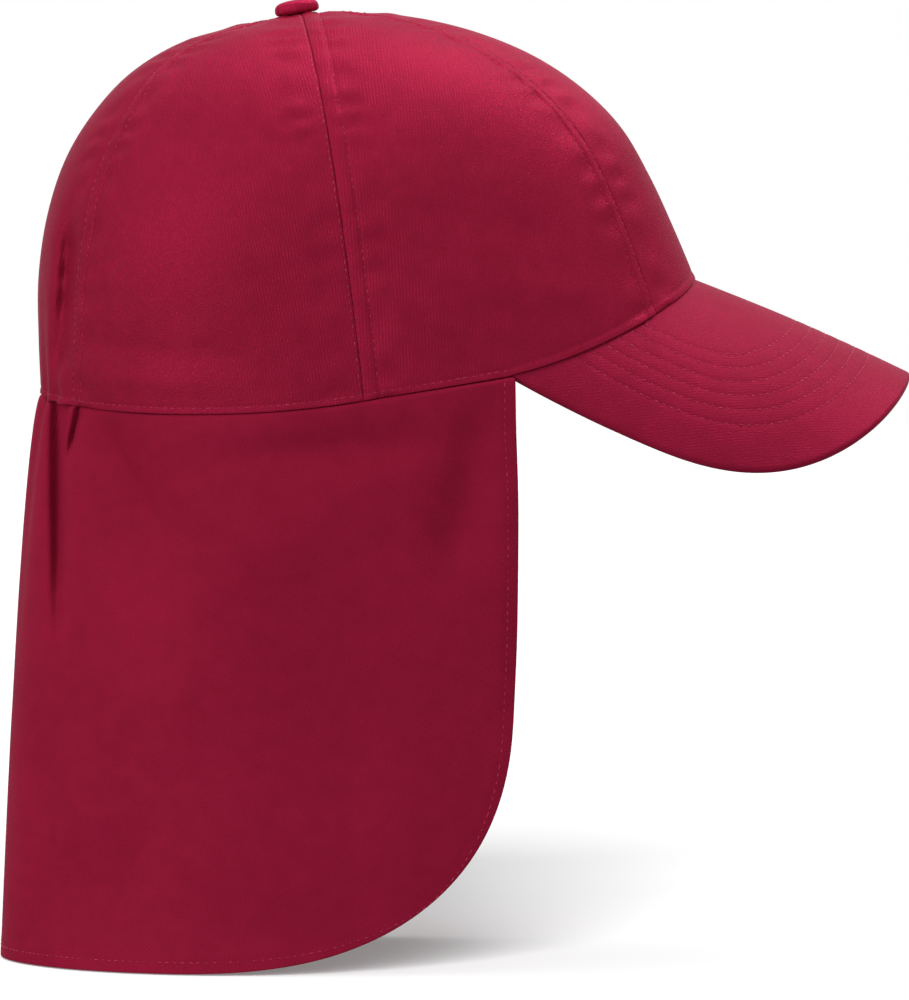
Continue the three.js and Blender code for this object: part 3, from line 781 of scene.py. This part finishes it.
def peak_lines(inward, columns):
    """Points of the peak's cut on lines that run inward of its outer edge, each from where it
    meets the tucked edge on one side round to the other. In front a line is the superellipse
    |along/tip|^p + |over/half|^p = 1, and behind the shoulder it is the side's curve."""
    start_along = peak_line_starts(inward)
    tip, half, shoulder, _ = peak_band(inward)
    power = 2 / PEAK_SQUARENESS
    samples = np.linspace(0, 1, 500)[:, None]
    back_along = start_along[None] + (shoulder - start_along)[None] * samples
    back_over = peak_side(inward[None], back_along)
    round_turn = math.pi / 2 * samples[1:]
    front_along = shoulder + (tip - shoulder) * np.sin(round_turn) ** power
    front_over = half * np.cos(round_turn) ** power
    along = np.concatenate([back_along, front_along])
    over = np.concatenate([back_over, front_over])
    run = arc_lengths(np.stack([along, over], -1), 0)
    line_along = evenly_read(along, run, columns + 1)
    line_over = evenly_read(over, run, columns + 1)
    line_over[-1] = 0
    line_along = np.concatenate([line_along, line_along[-2::-1]])
    line_over = np.concatenate([line_over, -line_over[-2::-1]])
    return line_along, line_over


def peak_dimples(inward):
    """Depth of the quilting: a bell-shaped dimple along each stitch row."""
    return PEAK_ROW_DIMPLE * sum(bump(inward - row, PEAK_ROW_WIDTH) for row in PEAK_ROWS)


def peak_cloth(material):
    """The peak as a rolled sheet on lines inward of its edge, which stand close together at the
    rounded edge and at each stitch row."""
    round_edge = PEAK_THICKNESS / 2
    lines = [edge_steps(round_edge, 6), np.linspace(round_edge + 1, PEAK_ROWS[0] - 1.8, 8)]
    for row, after in zip(PEAK_ROWS, PEAK_ROWS[1:] + (PEAK_ROWS[-1] + 5,)):
        lines.append(row + np.array(PEAK_ROW_NET))
        lines.append(np.linspace(row + 1.8, after - 1.8, 3))
    lines.append(np.linspace(PEAK_ROWS[-1] + 5, PEAK_LAST_LINE, 20))
    inward = np.concatenate(lines)
    along, over = peak_lines(inward, 130)
    inward = np.broadcast_to(inward, along.shape)
    ends = np.minimum(np.arange(len(along)), np.arange(len(along))[::-1])[:, None] / 3
    deep = np.minimum(1, PEAK_LAST_LINE - inward)
    wall = round_edge * rolled(inward, round_edge) * rolled(np.minimum(ends, 1), 1) * rolled(deep, 1)
    dimple = peak_dimples(inward) * wall / round_edge
    top = peak_point(along, over, round_edge - wall + dimple)
    under = peak_point(along, over, round_edge + wall - dimple)
    uv = np.stack([over, along], -1) * MM
    piece = rolled_sheet("peak_cloth", top, under, uv, material)
    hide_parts("peak")


def peak_stitch_rows():
    """The stitch rows of the peak, on top and underneath, in the dimples."""
    rows = []
    for row in PEAK_ROWS:
        along, over = (line[:, 0] for line in peak_lines(np.array([row]), 220))
        for depth, sign in ((PEAK_ROW_DIMPLE, 1), (PEAK_THICKNESS - PEAK_ROW_DIMPLE, -1)):
            points = peak_point(along, over, depth)
            off = peak_point(along, over, depth - sign) - points
            rows.append((points, off / np.linalg.norm(off, axis=-1, keepdims=True)))
    return rows


def button_piece(material):
    """The covered button: a rounded profile carried round the axis, drawn in to its shank, with
    shallow gathers round its edge: two cosines of 16 and 9 waves under a bell of the height."""
    sides = BUTTON_SIDES
    share = np.linspace(0, 1, BUTTON_STATIONS)
    radius, height = (spline(values, share) for values in zip(*BUTTON_PROFILE))
    turn = 2 * math.pi * np.arange(sides) / sides
    low_part = bump(height - 0.9, 1.3)[None, :] * (radius > 5)[None, :]
    gathers = 0.09 * np.cos(16 * turn)[:, None] + 0.05 * np.cos(9 * turn + 1)[:, None]
    reach = radius[None, :] + gathers * low_part
    reach[:, [0, -1]] = 0
    high = np.broadcast_to(CROWN_HEIGHT + CLEARANCE + height, reach.shape)
    skin = worn(reach * np.cos(turn)[:, None], reach * np.sin(turn)[:, None], high)
    points = np.concatenate([skin[:, 1:-1].reshape(-1, 3), skin[:1, 0], skin[:1, -1]])
    index = np.arange(len(points) - 2).reshape(sides, -1)
    loop = np.concatenate([index, index[:1]])
    foot, top = np.full(sides, len(points) - 2), np.full(sides, len(points) - 1)
    low_fan = np.stack([loop[:-1, 0], loop[1:, 0], foot, foot], -1)
    high_fan = np.stack([loop[1:, -1], loop[:-1, -1], top, top], -1)
    faces = np.concatenate([grid_quads(loop)[:, ::-1], low_fan, high_fan])
    uv = points[:, :2] * MM
    piece = cloth_piece("top_button_cloth", points, faces, uv, material)
    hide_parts("top_button")


def stepped_out(fall):
    """Share of the step out under the rim: 1 less e to the power of minus fall over its run."""
    return 1 - np.exp(-np.maximum(fall, 0) / FLAP_STEP_RUN)


def flap_swing(angle, fall):
    """How far the flap hangs out from its line on the rim: a quick step under the rim, then a
    slow flare at the back, a slow draw inwards at the sides and a curl at the front edges, each
    by a power of the share of the way down."""
    back = np.maximum(0, -np.cos(angle)) ** 1.3
    ahead = np.maximum(0, np.cos(angle)) / math.cos(FLAP_START)
    share = np.maximum(fall, 0) / FLAP_LENGTH
    step = FLAP_SIDE_STEP + (FLAP_STEP_OUT - FLAP_SIDE_STEP) * back
    swing = step * stepped_out(fall)
    drawn_in = (1 - back) * FLAP_SIDE_DRAW * share ** 1.5
    flare = back * FLAP_FLARE * share ** FLAP_FLARE_POWER - drawn_in
    return swing + flare - ahead ** 2 * FLAP_EDGE_CURL * share


def fold_depth(turn, fall):
    """How deep the folds sink: each is a bell across that widens, wanders and fades down."""
    share = np.maximum(fall, 0) / FLAP_LENGTH
    depth = np.zeros_like(share)
    for fold in FLAP_FOLDS:
        middle = np.radians(fold["at"] + math.copysign(1, fold["at"]) * fold["lean"] * share)
        fade = np.maximum(0, 1 - share / fold["run"]) ** 1.2
        width = math.radians(fold["wide"]) * (1 + share)
        deep = fold["deep"] * FLAP_LENGTH * fade * stepped_out(fall)
        depth = depth + deep * bump(turn - middle, width)
    return depth


def flap_ripples(angle, fall):
    """Slow waves of the hanging cloth: two sines round the cap that grow towards the hem, and
    at the sides a kick outwards over the last part of the way down."""
    share = np.clip(fall / FLAP_LENGTH, 0, 1)
    waves = np.sin(5 * angle + 1.1) + 0.6 * np.sin(9 * angle - 2.5 * share + 0.4)
    kick = HEM_KICK * np.sin(angle) ** 2 * step_up(share, 0.9, 1.04)
    return RIPPLE_DEPTH * waves * share ** 1.2 + kick


def flap_face(angle, fall, inset=0.0):
    """A point of the flap's outer face. angle is its place on the rim and fall its depth under
    the rim, or above it where negative. It hangs straight down from the worn rim, swung out
    and folded along the angle's own direction, and its pleats sink straight inwards. Tucked in
    the rim it leans a little and follows the thinned wall of the crown."""
    turn = np.where(angle > math.pi, angle - 2 * math.pi, angle)
    reach = plan_reach(turn) - PANEL_BULGE * RIM_FULLNESS - PANEL_WALL - CLEARANCE - inset
    height = rim_height(turn, plan_reach(turn))
    tuck = np.minimum(fall, 0)
    thinned = PANEL_WALL * (1 - RIM_THIN) * (1 - step_up(-tuck, 0.0, RIM_THIN_RUN))
    reach = reach + tuck * FLAP_TUCK_LEAN + FLAP_FOLLOW * thinned
    hang = worn(reach * np.cos(turn), reach * np.sin(turn), height - tuck)
    share = np.maximum(fall, 0) / FLAP_LENGTH
    out = flap_swing(turn, fall) - fold_depth(turn, fall) + flap_ripples(turn, fall)
    bow = np.maximum(0, np.cos(turn)) * FLAP_EDGE_BOW * 4 * share * np.maximum(0, 1 - share)
    hang[..., 2] -= np.maximum(fall, 0)
    seen_at = hang[..., 0] + out * np.cos(turn) + bow
    out = out + stepped_out(fall) * creases(FLAP_CREASES, seen_at, hang[..., 2], np.sin(turn))
    pleat = stepped_out(fall) * creases(FLAP_PLEATS, seen_at, hang[..., 2], np.sin(turn))
    hang[..., 0] += out * np.cos(turn) + bow
    hang[..., 1] += out * np.sin(turn) + pleat * np.sign(np.sin(turn))
    return hang


RIM_TURNS = np.linspace(FLAP_START, 2 * math.pi - FLAP_START, 2001)
RIM_LINE = flap_face(RIM_TURNS, np.zeros_like(RIM_TURNS))
RIM_RUN = arc_lengths(RIM_LINE, 0)
RIM_WHOLE = float(RIM_RUN[-1])
HEM_LEVEL = float(flap_face(np.array([math.pi]), np.array([FLAP_LENGTH]))[0, 2])


def flap_flat(run, rise):
    """Places on the flap's flat cut from a square net: run is the way along the rim from one
    front edge and rise the height over the hem. In each lower corner the net's square is
    mapped to a quarter disc, x sqrt(1 - y^2/2) and y sqrt(1 - x^2/2), and spread to the
    corner's superellipse. Also returns the distance from the cut's edge."""
    side = np.minimum(run, RIM_WHOLE - run)
    x = np.clip(1 - side / FLAP_CORNER_RUN, 0, 1)
    y = np.clip(1 - rise / FLAP_CORNER_RISE, 0, 1)
    disc_x = x * np.sqrt(1 - y ** 2 / 2)
    disc_y = y * np.sqrt(1 - x ** 2 / 2)
    radius = np.hypot(disc_x, disc_y)
    turn = np.arctan2(disc_y, disc_x)
    power = FLAP_CORNER_FULLNESS
    spread = (np.abs(np.cos(turn)) ** power + np.abs(np.sin(turn)) ** power) ** (-1 / power)
    in_corner = (x > 0) & (y > 0)
    new_side = np.where(in_corner, FLAP_CORNER_RUN * (1 - disc_x * spread), side)
    new_rise = np.where(in_corner, FLAP_CORNER_RISE * (1 - disc_y * spread), rise)
    new_run = np.where(run <= RIM_WHOLE / 2, new_side, RIM_WHOLE - new_side)
    near = np.hypot(FLAP_CORNER_RISE * np.cos(turn), FLAP_CORNER_RUN * np.sin(turn))
    reach = FLAP_CORNER_RUN * FLAP_CORNER_RISE / near
    edge = np.where(in_corner, reach * (1 - radius) * spread, np.minimum(side, rise))
    return new_run, new_rise, edge


def flap_at(run, rise, inset=0.0):
    """A point of the flap from its place on the flat cut."""
    angle = np.interp(run, RIM_RUN, RIM_TURNS)
    rim_level = np.interp(run, RIM_RUN, RIM_LINE[:, 2])
    return flap_face(angle, rim_level - HEM_LEVEL - rise, inset)


def hem_swell(edge):
    """How much thicker the turned hem is, with a bell-shaped dimple under its stitch row."""
    turned = 1 - step_up(edge, HEM_WIDTH - 0.8, HEM_WIDTH + 0.4)
    return HEM_RISE * turned - HEM_DIMPLE * bump(edge - HEM_STITCH, 0.7)


def flap_net():
    """The flap's square net as run and rise, and the depth of each point under its top edge.
    The net is close at the hem, at the front edges and under the rim. From the hem up, its rows
    are fitted to the rim's own height by the square of their share of the tallest."""
    half = FLAP_WALL / 2
    columns = crowded(RIM_WHOLE, half, fine_to=8.0, fine=0.7, coarse=1.6)
    rim_level = np.interp(columns, RIM_RUN, RIM_LINE[:, 2]) - HEM_LEVEL
    tallest = float(rim_level.max())
    low = np.concatenate([edge_steps(half), np.arange(1.3, 8.0, 0.7)])
    between = np.linspace(low[-1], tallest - 9, 78)[1:]
    rows = np.concatenate([low, between, tallest - np.array(FLAP_TOP_ROWS)])
    tuck = np.concatenate([np.linspace(1.2, FLAP_TUCK - 1, 4), FLAP_TUCK - edge_steps(half)[::-1]])
    run = np.broadcast_to(columns[:, None], (len(columns), len(rows) + len(tuck)))
    fitted = rows[None, :] + (rim_level[:, None] - tallest) * (rows[None, :] / tallest) ** 2
    rise = np.concatenate([fitted, rim_level[:, None] + tuck[None, :]], 1)
    return run, rise, rim_level[:, None] + FLAP_TUCK - rise


def flap_cloth(material):
    """The neck flap as a rolled sheet, and its middle surface. Its wall falls to nothing over a
    quarter round at its edges."""
    half = FLAP_WALL / 2
    run, rise, top_edge = flap_net()
    flat_run, flat_rise, edge = flap_flat(run, rise)
    wall = half * rolled(edge, half) * rolled(top_edge, half)
    swell = hem_swell(edge) * wall / half
    outer = flap_at(flat_run, flat_rise, half - wall - HEM_OUTSIDE * swell)
    inner = flap_at(flat_run, flat_rise, half + wall + swell)
    uv = np.stack([flat_run, flat_rise], -1) * MM
    piece = rolled_sheet("neck_flap_cloth", outer, inner, uv, material)
    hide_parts("neck_flap")
    return piece, flap_at(flat_run, flat_rise, half)


def flap_hem_row():
    """The stitch row of the flap on both its faces, a fixed way inside its edge: down one front
    edge, round the corner, along the hem and up the other side."""
    down = np.linspace(0, 1, 240)
    corner = np.linspace(0, 1, 161)
    level = np.interp(HEM_STITCH, RIM_RUN, RIM_LINE[:, 2]) - HEM_LEVEL
    front_rise = level - 0.8 + (FLAP_CORNER_RISE - level + 0.8) * down
    corner_rise = FLAP_CORNER_RISE + (HEM_STITCH - FLAP_CORNER_RISE) * corner
    corner_run = HEM_STITCH + (FLAP_CORNER_RUN - HEM_STITCH) * corner
    hem_run = np.linspace(FLAP_CORNER_RUN, RIM_WHOLE / 2, 500)
    beside_front = np.full(len(down) + len(corner) - 1, HEM_STITCH)
    over_hem = np.full(len(corner) + len(hem_run) - 1, HEM_STITCH)
    run = np.concatenate([beside_front, corner_run, hem_run[1:]])
    rise = np.concatenate([front_rise, corner_rise[1:], over_hem])
    run = np.concatenate([run, (RIM_WHOLE - run)[-2::-1]])
    rise = np.concatenate([rise, rise[-2::-1]])
    flat_run, flat_rise, edge = flap_flat(run, rise)
    inset = -HEM_OUTSIDE * hem_swell(edge)
    points = flap_at(flat_run, flat_rise, inset)
    around = flap_at(flat_run + 0.5, flat_rise, inset) - flap_at(flat_run - 0.5, flat_rise, inset)
    upward = flap_at(flat_run, flat_rise + 0.5, inset) - flap_at(flat_run, flat_rise - 0.5, inset)
    outward = np.cross(around, upward)
    outward /= np.linalg.norm(outward, axis=-1, keepdims=True)
    return [(points, outward), (points - outward * (FLAP_WALL + 0.1), -outward)]


def nodes_of(material):
    """The node tree of an emptied material, and the shader linked to its output."""
    material.use_nodes = True
    tree = material.node_tree
    tree.nodes.clear()
    output = tree.nodes.new("ShaderNodeOutputMaterial")
    shader = tree.nodes.new("ShaderNodeBsdfPrincipled")
    tree.links.new(shader.outputs["BSDF"], output.inputs["Surface"])
    return tree, shader


def math_node(tree, operation, first, second=None):
    """A sum, product or other operation on two sockets or values."""
    node = tree.nodes.new("ShaderNodeMath")
    node.operation = operation
    for socket, value in zip(node.inputs, (first, second)):
        if value is None:
            continue
        if isinstance(value, (int, float)):
            socket.default_value = value
        else:
            tree.links.new(value, socket)
    return node.outputs[0]


def noise_node(tree, place, scale, detail=2.0, roughness=0.5):
    """Cloudy noise on a place, from 0 to 1."""
    node = tree.nodes.new("ShaderNodeTexNoise")
    node.inputs["Scale"].default_value = scale
    node.inputs["Detail"].default_value = detail
    node.inputs["Roughness"].default_value = roughness
    tree.links.new(place, node.inputs["Vector"])
    return node.outputs["Fac"]


def ramp_node(tree, value, stops):
    """A colour ramp through (place, colour) stops."""
    node = tree.nodes.new("ShaderNodeValToRGB")
    tree.links.new(value, node.inputs["Fac"])
    band = node.color_ramp
    while len(band.elements) < len(stops):
        band.elements.new(0.5)
    for element, (place, colour) in zip(band.elements, stops):
        element.position = place
        element.color = (*colour, 1)
    return node.outputs["Color"]


def stretched(tree, place, lean, along):
    """A UV place turned by a lean in degrees, then squeezed along the ribs to a share."""
    node = tree.nodes.new("ShaderNodeMapping")
    node.inputs["Rotation"].default_value = (0, 0, math.radians(lean))
    tree.links.new(place, node.inputs["Vector"])
    squeeze = tree.nodes.new("ShaderNodeMapping")
    squeeze.inputs["Scale"].default_value = (1, along, 1)
    tree.links.new(node.outputs["Vector"], squeeze.inputs["Vector"])
    return squeeze.outputs["Vector"]


def rib_waves(tree, place):
    """Bands a pitch apart across a place's first axis, bent a little by their own noise."""
    ribs = tree.nodes.new("ShaderNodeTexWave")
    ribs.wave_type = "BANDS"
    ribs.bands_direction = "X"
    ribs.inputs["Scale"].default_value = math.pi / (10 * TWILL_PITCH * MM)
    ribs.inputs["Distortion"].default_value = RIB_BEND
    ribs.inputs["Detail"].default_value = 2.0
    ribs.inputs["Detail Scale"].default_value = 1.3
    tree.links.new(place, ribs.inputs["Vector"])
    return ribs.outputs["Fac"]


def weighted_sum(tree, parts):
    """The sum of (socket, share) pairs, each socket times its share."""
    total, *others = [math_node(tree, "MULTIPLY", socket, share) for socket, share in parts]
    for other in others:
        total = math_node(tree, "ADD", total, other)
    return total


def twill_cloth(name, deep, light, lean, rib=0.4, shine=0.24, gloss=1.07):
    """Cotton twill: ribs a millimetre apart lean across the cloth's own UV place, fade in and
    out in patches and break up into grains drawn out along them. They give the relief, and with
    slow noise the colour. Part of the shading is a satin shine of the cloth's own colour, which
    the cube of a fine noise breaks up into sparks."""
    material = bpy.data.materials.new(name)
    tree, shader = nodes_of(material)
    place = tree.nodes.new("ShaderNodeTexCoord")
    ribs = rib_waves(tree, stretched(tree, place.outputs["UV"], lean, 1.0))
    drawn_out = stretched(tree, place.outputs["UV"], lean, GRAIN_SQUEEZE)
    grain = noise_node(tree, drawn_out, GRAIN_SCALE, 2.0, 0.6)
    cloud = noise_node(tree, place.outputs["Object"], CLOUD_SCALE, 3.0)
    patches = noise_node(tree, place.outputs["UV"], PATCH_SCALE)
    strength = math_node(tree, "MULTIPLY", math_node(tree, "SUBTRACT", patches, 0.25), 2.0 * rib)
    relief = math_node(tree, "ADD", math_node(tree, "MULTIPLY", ribs, strength), grain)
    parts = ((relief, RELIEF_TONE), (cloud, CLOUD_TONE), (patches, PATCH_TONE))
    tone = weighted_sum(tree, parts)
    colour = ramp_node(tree, tone, ((0.25, deep), (0.65, light)))
    tree.links.new(colour, shader.inputs["Base Color"])
    sparks = math_node(tree, "POWER", noise_node(tree, drawn_out, SPARK_SCALE, 1.0), 3.0)
    satin = math_node(tree, "MULTIPLY", sparks, SPARK_GAIN * shine)
    tree.links.new(satin, shader.inputs["Metallic"])
    shader.inputs["Roughness"].default_value = TWILL_ROUGHNESS
    shader.inputs["IOR"].default_value = gloss
    shader.inputs["Specular Tint"].default_value = PINK_SHINE
    height = tree.nodes.new("ShaderNodeBump")
    height.inputs["Strength"].default_value = 0.8
    height.inputs["Distance"].default_value = TWILL_RELIEF * MM
    tree.links.new(relief, height.inputs["Height"])
    tree.links.new(height.outputs["Normal"], shader.inputs["Normal"])
    return material


def thread_finish(name, deep, light):
    """Polyester thread: a little lighter than the cloth, uneven from stitch to stitch, with a pinker
    light end that is painted highlight on the beads.
    """
    material = bpy.data.materials.new(name)
    tree, shader = nodes_of(material)
    place = tree.nodes.new("ShaderNodeTexCoord")
    uneven = noise_node(tree, place.outputs["Object"], THREAD_NOISE_SCALE)
    colour = ramp_node(tree, uneven, ((0.35, deep), (0.62, light)))
    tree.links.new(colour, shader.inputs["Base Color"])
    shader.inputs["Roughness"].default_value = 0.5
    shader.inputs["IOR"].default_value = 1.3
    shader.inputs["Metallic"].default_value = 0.2
    return material


def floor_finish():
    """A plain pale matt floor."""
    material = bpy.data.materials.new("pale_floor")
    shader = nodes_of(material)[1]
    shader.inputs["Base Color"].default_value = FLOOR_GREY
    shader.inputs["Emission Color"].default_value = (1, 1, 1, 1)
    shader.inputs["Emission Strength"].default_value = FLOOR_GLOW
    shader.inputs["Roughness"].default_value = 0.9
    shader.inputs["Specular IOR Level"].default_value = 0.0
    return material


def studio_floor():
    """A square floor just under the hem."""
    half = FLOOR_HALF * MM
    level = FLOOR_HEIGHT * MM
    mesh = bpy.data.meshes.new("studio_floor")
    corners = [(-half, -half, level), (half, -half, level), (half, half, level), (-half, half, level)]
    mesh.from_pydata(corners, [], [(0, 1, 2, 3)])
    mesh.materials.append(floor_finish())
    floor = bpy.data.objects.new("studio_floor", mesh)
    floor.visible_diffuse = False
    floor.visible_glossy = False
    bpy.context.scene.collection.objects.link(floor)
    return floor


def soft_light(name, azimuth, elevation, strength, spread):
    """A wide distant light that shines down from an azimuth round the cap and an elevation,
    both in degrees. Azimuth 0 is the camera's side and 90 the wearer's front."""
    light = bpy.data.lights.new(name, "SUN")
    light.energy = strength
    light.angle = math.radians(spread)
    lamp = bpy.data.objects.new(name, light)
    bpy.context.scene.collection.objects.link(lamp)
    lamp.rotation_euler = (math.radians(90 - elevation), 0, math.radians(azimuth))
    return lamp


def share_lights(floor, flap, cap_lights, floor_light):
    """Keeps the cap's lights off the floor and the floor's own low light off the cap, and lets
    only the flap shade that light, so that the floor stays white but for the soft patch of
    shadow behind the flap."""
    only_floor = bpy.data.collections.new("only_floor")
    only_floor.objects.link(floor)
    floor_light.light_linking.receiver_collection = only_floor
    only_flap = bpy.data.collections.new("only_flap")
    only_flap.objects.link(flap)
    floor_light.light_linking.blocker_collection = only_flap
    not_floor = bpy.data.collections.new("not_floor")
    not_floor.objects.link(floor)
    not_floor.collection_objects[0].light_linking.link_state = "EXCLUDE"
    for lamp in cap_lights:
        lamp.light_linking.receiver_collection = not_floor


def studio_air():
    """White all round for the camera, and for the light a pale dome that is brighter above."""
    world = bpy.data.worlds.new("studio_air")
    bpy.context.scene.world = world
    world.use_nodes = True
    tree = world.node_tree
    tree.nodes.clear()
    output = tree.nodes.new("ShaderNodeOutputWorld")
    seen = tree.nodes.new("ShaderNodeBackground")
    seen.inputs["Color"].default_value = (1, 1, 1, 1)
    seen.inputs["Strength"].default_value = 1.0
    dome = tree.nodes.new("ShaderNodeBackground")
    place = tree.nodes.new("ShaderNodeTexCoord")
    split = tree.nodes.new("ShaderNodeSeparateXYZ")
    tree.links.new(place.outputs["Generated"], split.inputs["Vector"])
    shade = ramp_node(tree, split.outputs["Z"], DOME_GREYS)
    tree.links.new(shade, dome.inputs["Color"])
    path = tree.nodes.new("ShaderNodeLightPath")
    mix = tree.nodes.new("ShaderNodeMixShader")
    tree.links.new(path.outputs["Is Camera Ray"], mix.inputs[0])
    tree.links.new(dome.outputs["Background"], mix.inputs[1])
    tree.links.new(seen.outputs["Background"], mix.inputs[2])
    tree.links.new(mix.outputs["Shader"], output.inputs["Surface"])


def studio_camera():
    """The camera of the photograph: square to the side, two degrees above level."""
    data = bpy.data.cameras.new("photo_camera")
    data.sensor_width = 36.0
    data.lens = PIXELS_PER_MM * CAMERA_DISTANCE / IMAGE_HEIGHT * data.sensor_width
    data.clip_start = 0.1
    data.clip_end = 100.0
    camera = bpy.data.objects.new("photo_camera", data)
    bpy.context.scene.collection.objects.link(camera)
    back = CAMERA_DISTANCE * math.cos(CAMERA_ELEVATION)
    above = CAMERA_DISTANCE * math.sin(CAMERA_ELEVATION)
    x, y, z = CAMERA_AIM
    camera.location = (x * MM, (y - back) * MM, (z + above) * MM)
    camera.rotation_euler = (math.pi / 2 - CAMERA_ELEVATION, 0, 0)
    bpy.context.scene.camera = camera


crown_twill = twill_cloth("crown_twill", DEEP_RED, LIGHT_RED, lean=4.0)
# The peak's cloth takes the darker reds of painted shade
peak_twill = twill_cloth(
    "peak_twill", PEAK_SHADED_DEEP_RED, PEAK_SHADED_LIGHT_RED, lean=32.0, rib=0.22, shine=0.11, gloss=1.055
)
flap_twill = twill_cloth(
    "flap_twill", DEEP_RED, LIGHT_RED, lean=35.0, rib=0.2, shine=0.03, gloss=1.02
)
# The button's cloth takes the lighter reds of painted light
button_twill = twill_cloth(
    "button_twill", BUTTON_LIT_DEEP_RED, BUTTON_LIT_LIGHT_RED, lean=20.0, rib=0.3
)
red_thread = thread_finish("red_thread", THREAD_DEEP_RED, THREAD_HIGHLIGHT_RED)

PANELS = (
    ("front_panel", (-1, "front"), (1, "front")),
    ("left_front_side_panel", (1, "front"), (1, "side")),
    ("right_front_side_panel", (-1, "side"), (-1, "front")),
    ("left_rear_side_panel", (1, "side"), (1, "rear")),
    ("right_rear_side_panel", (-1, "rear"), (-1, "side")),
    ("rear_panel", (1, "rear"), (-1, "rear")),
)
for panel_name, panel_start, panel_finish in PANELS:
    crown_panel(panel_name, panel_start, panel_finish, crown_twill)

button_piece(button_twill)
peak_cloth(peak_twill)
flap, flap_middle = flap_cloth(flap_twill)

seam_rows = [
    seam_row(side, seam, side * off)
    for side in (-1, 1)
    for seam, offsets in SEAM_ROWS.items()
    for off in offsets
]
thread_piece("seam_topstitching", seam_rows, red_thread)
thread_piece("rim_stitching", [rim_row(-1), rim_row(1)], red_thread)
thread_piece("peak_stitching", peak_stitch_rows(), red_thread)
hem_thread = thread_piece("flap_hem_stitching", flap_hem_row(), red_thread)

floor = studio_floor()
studio_air()
cap_lights = [soft_light(*light) for light in CAP_LIGHTS]
floor_light = soft_light(*FLOOR_LIGHT)
share_lights(floor, flap, cap_lights, floor_light)
studio_camera()
bpy.context.scene.view_settings.view_transform = "Standard"
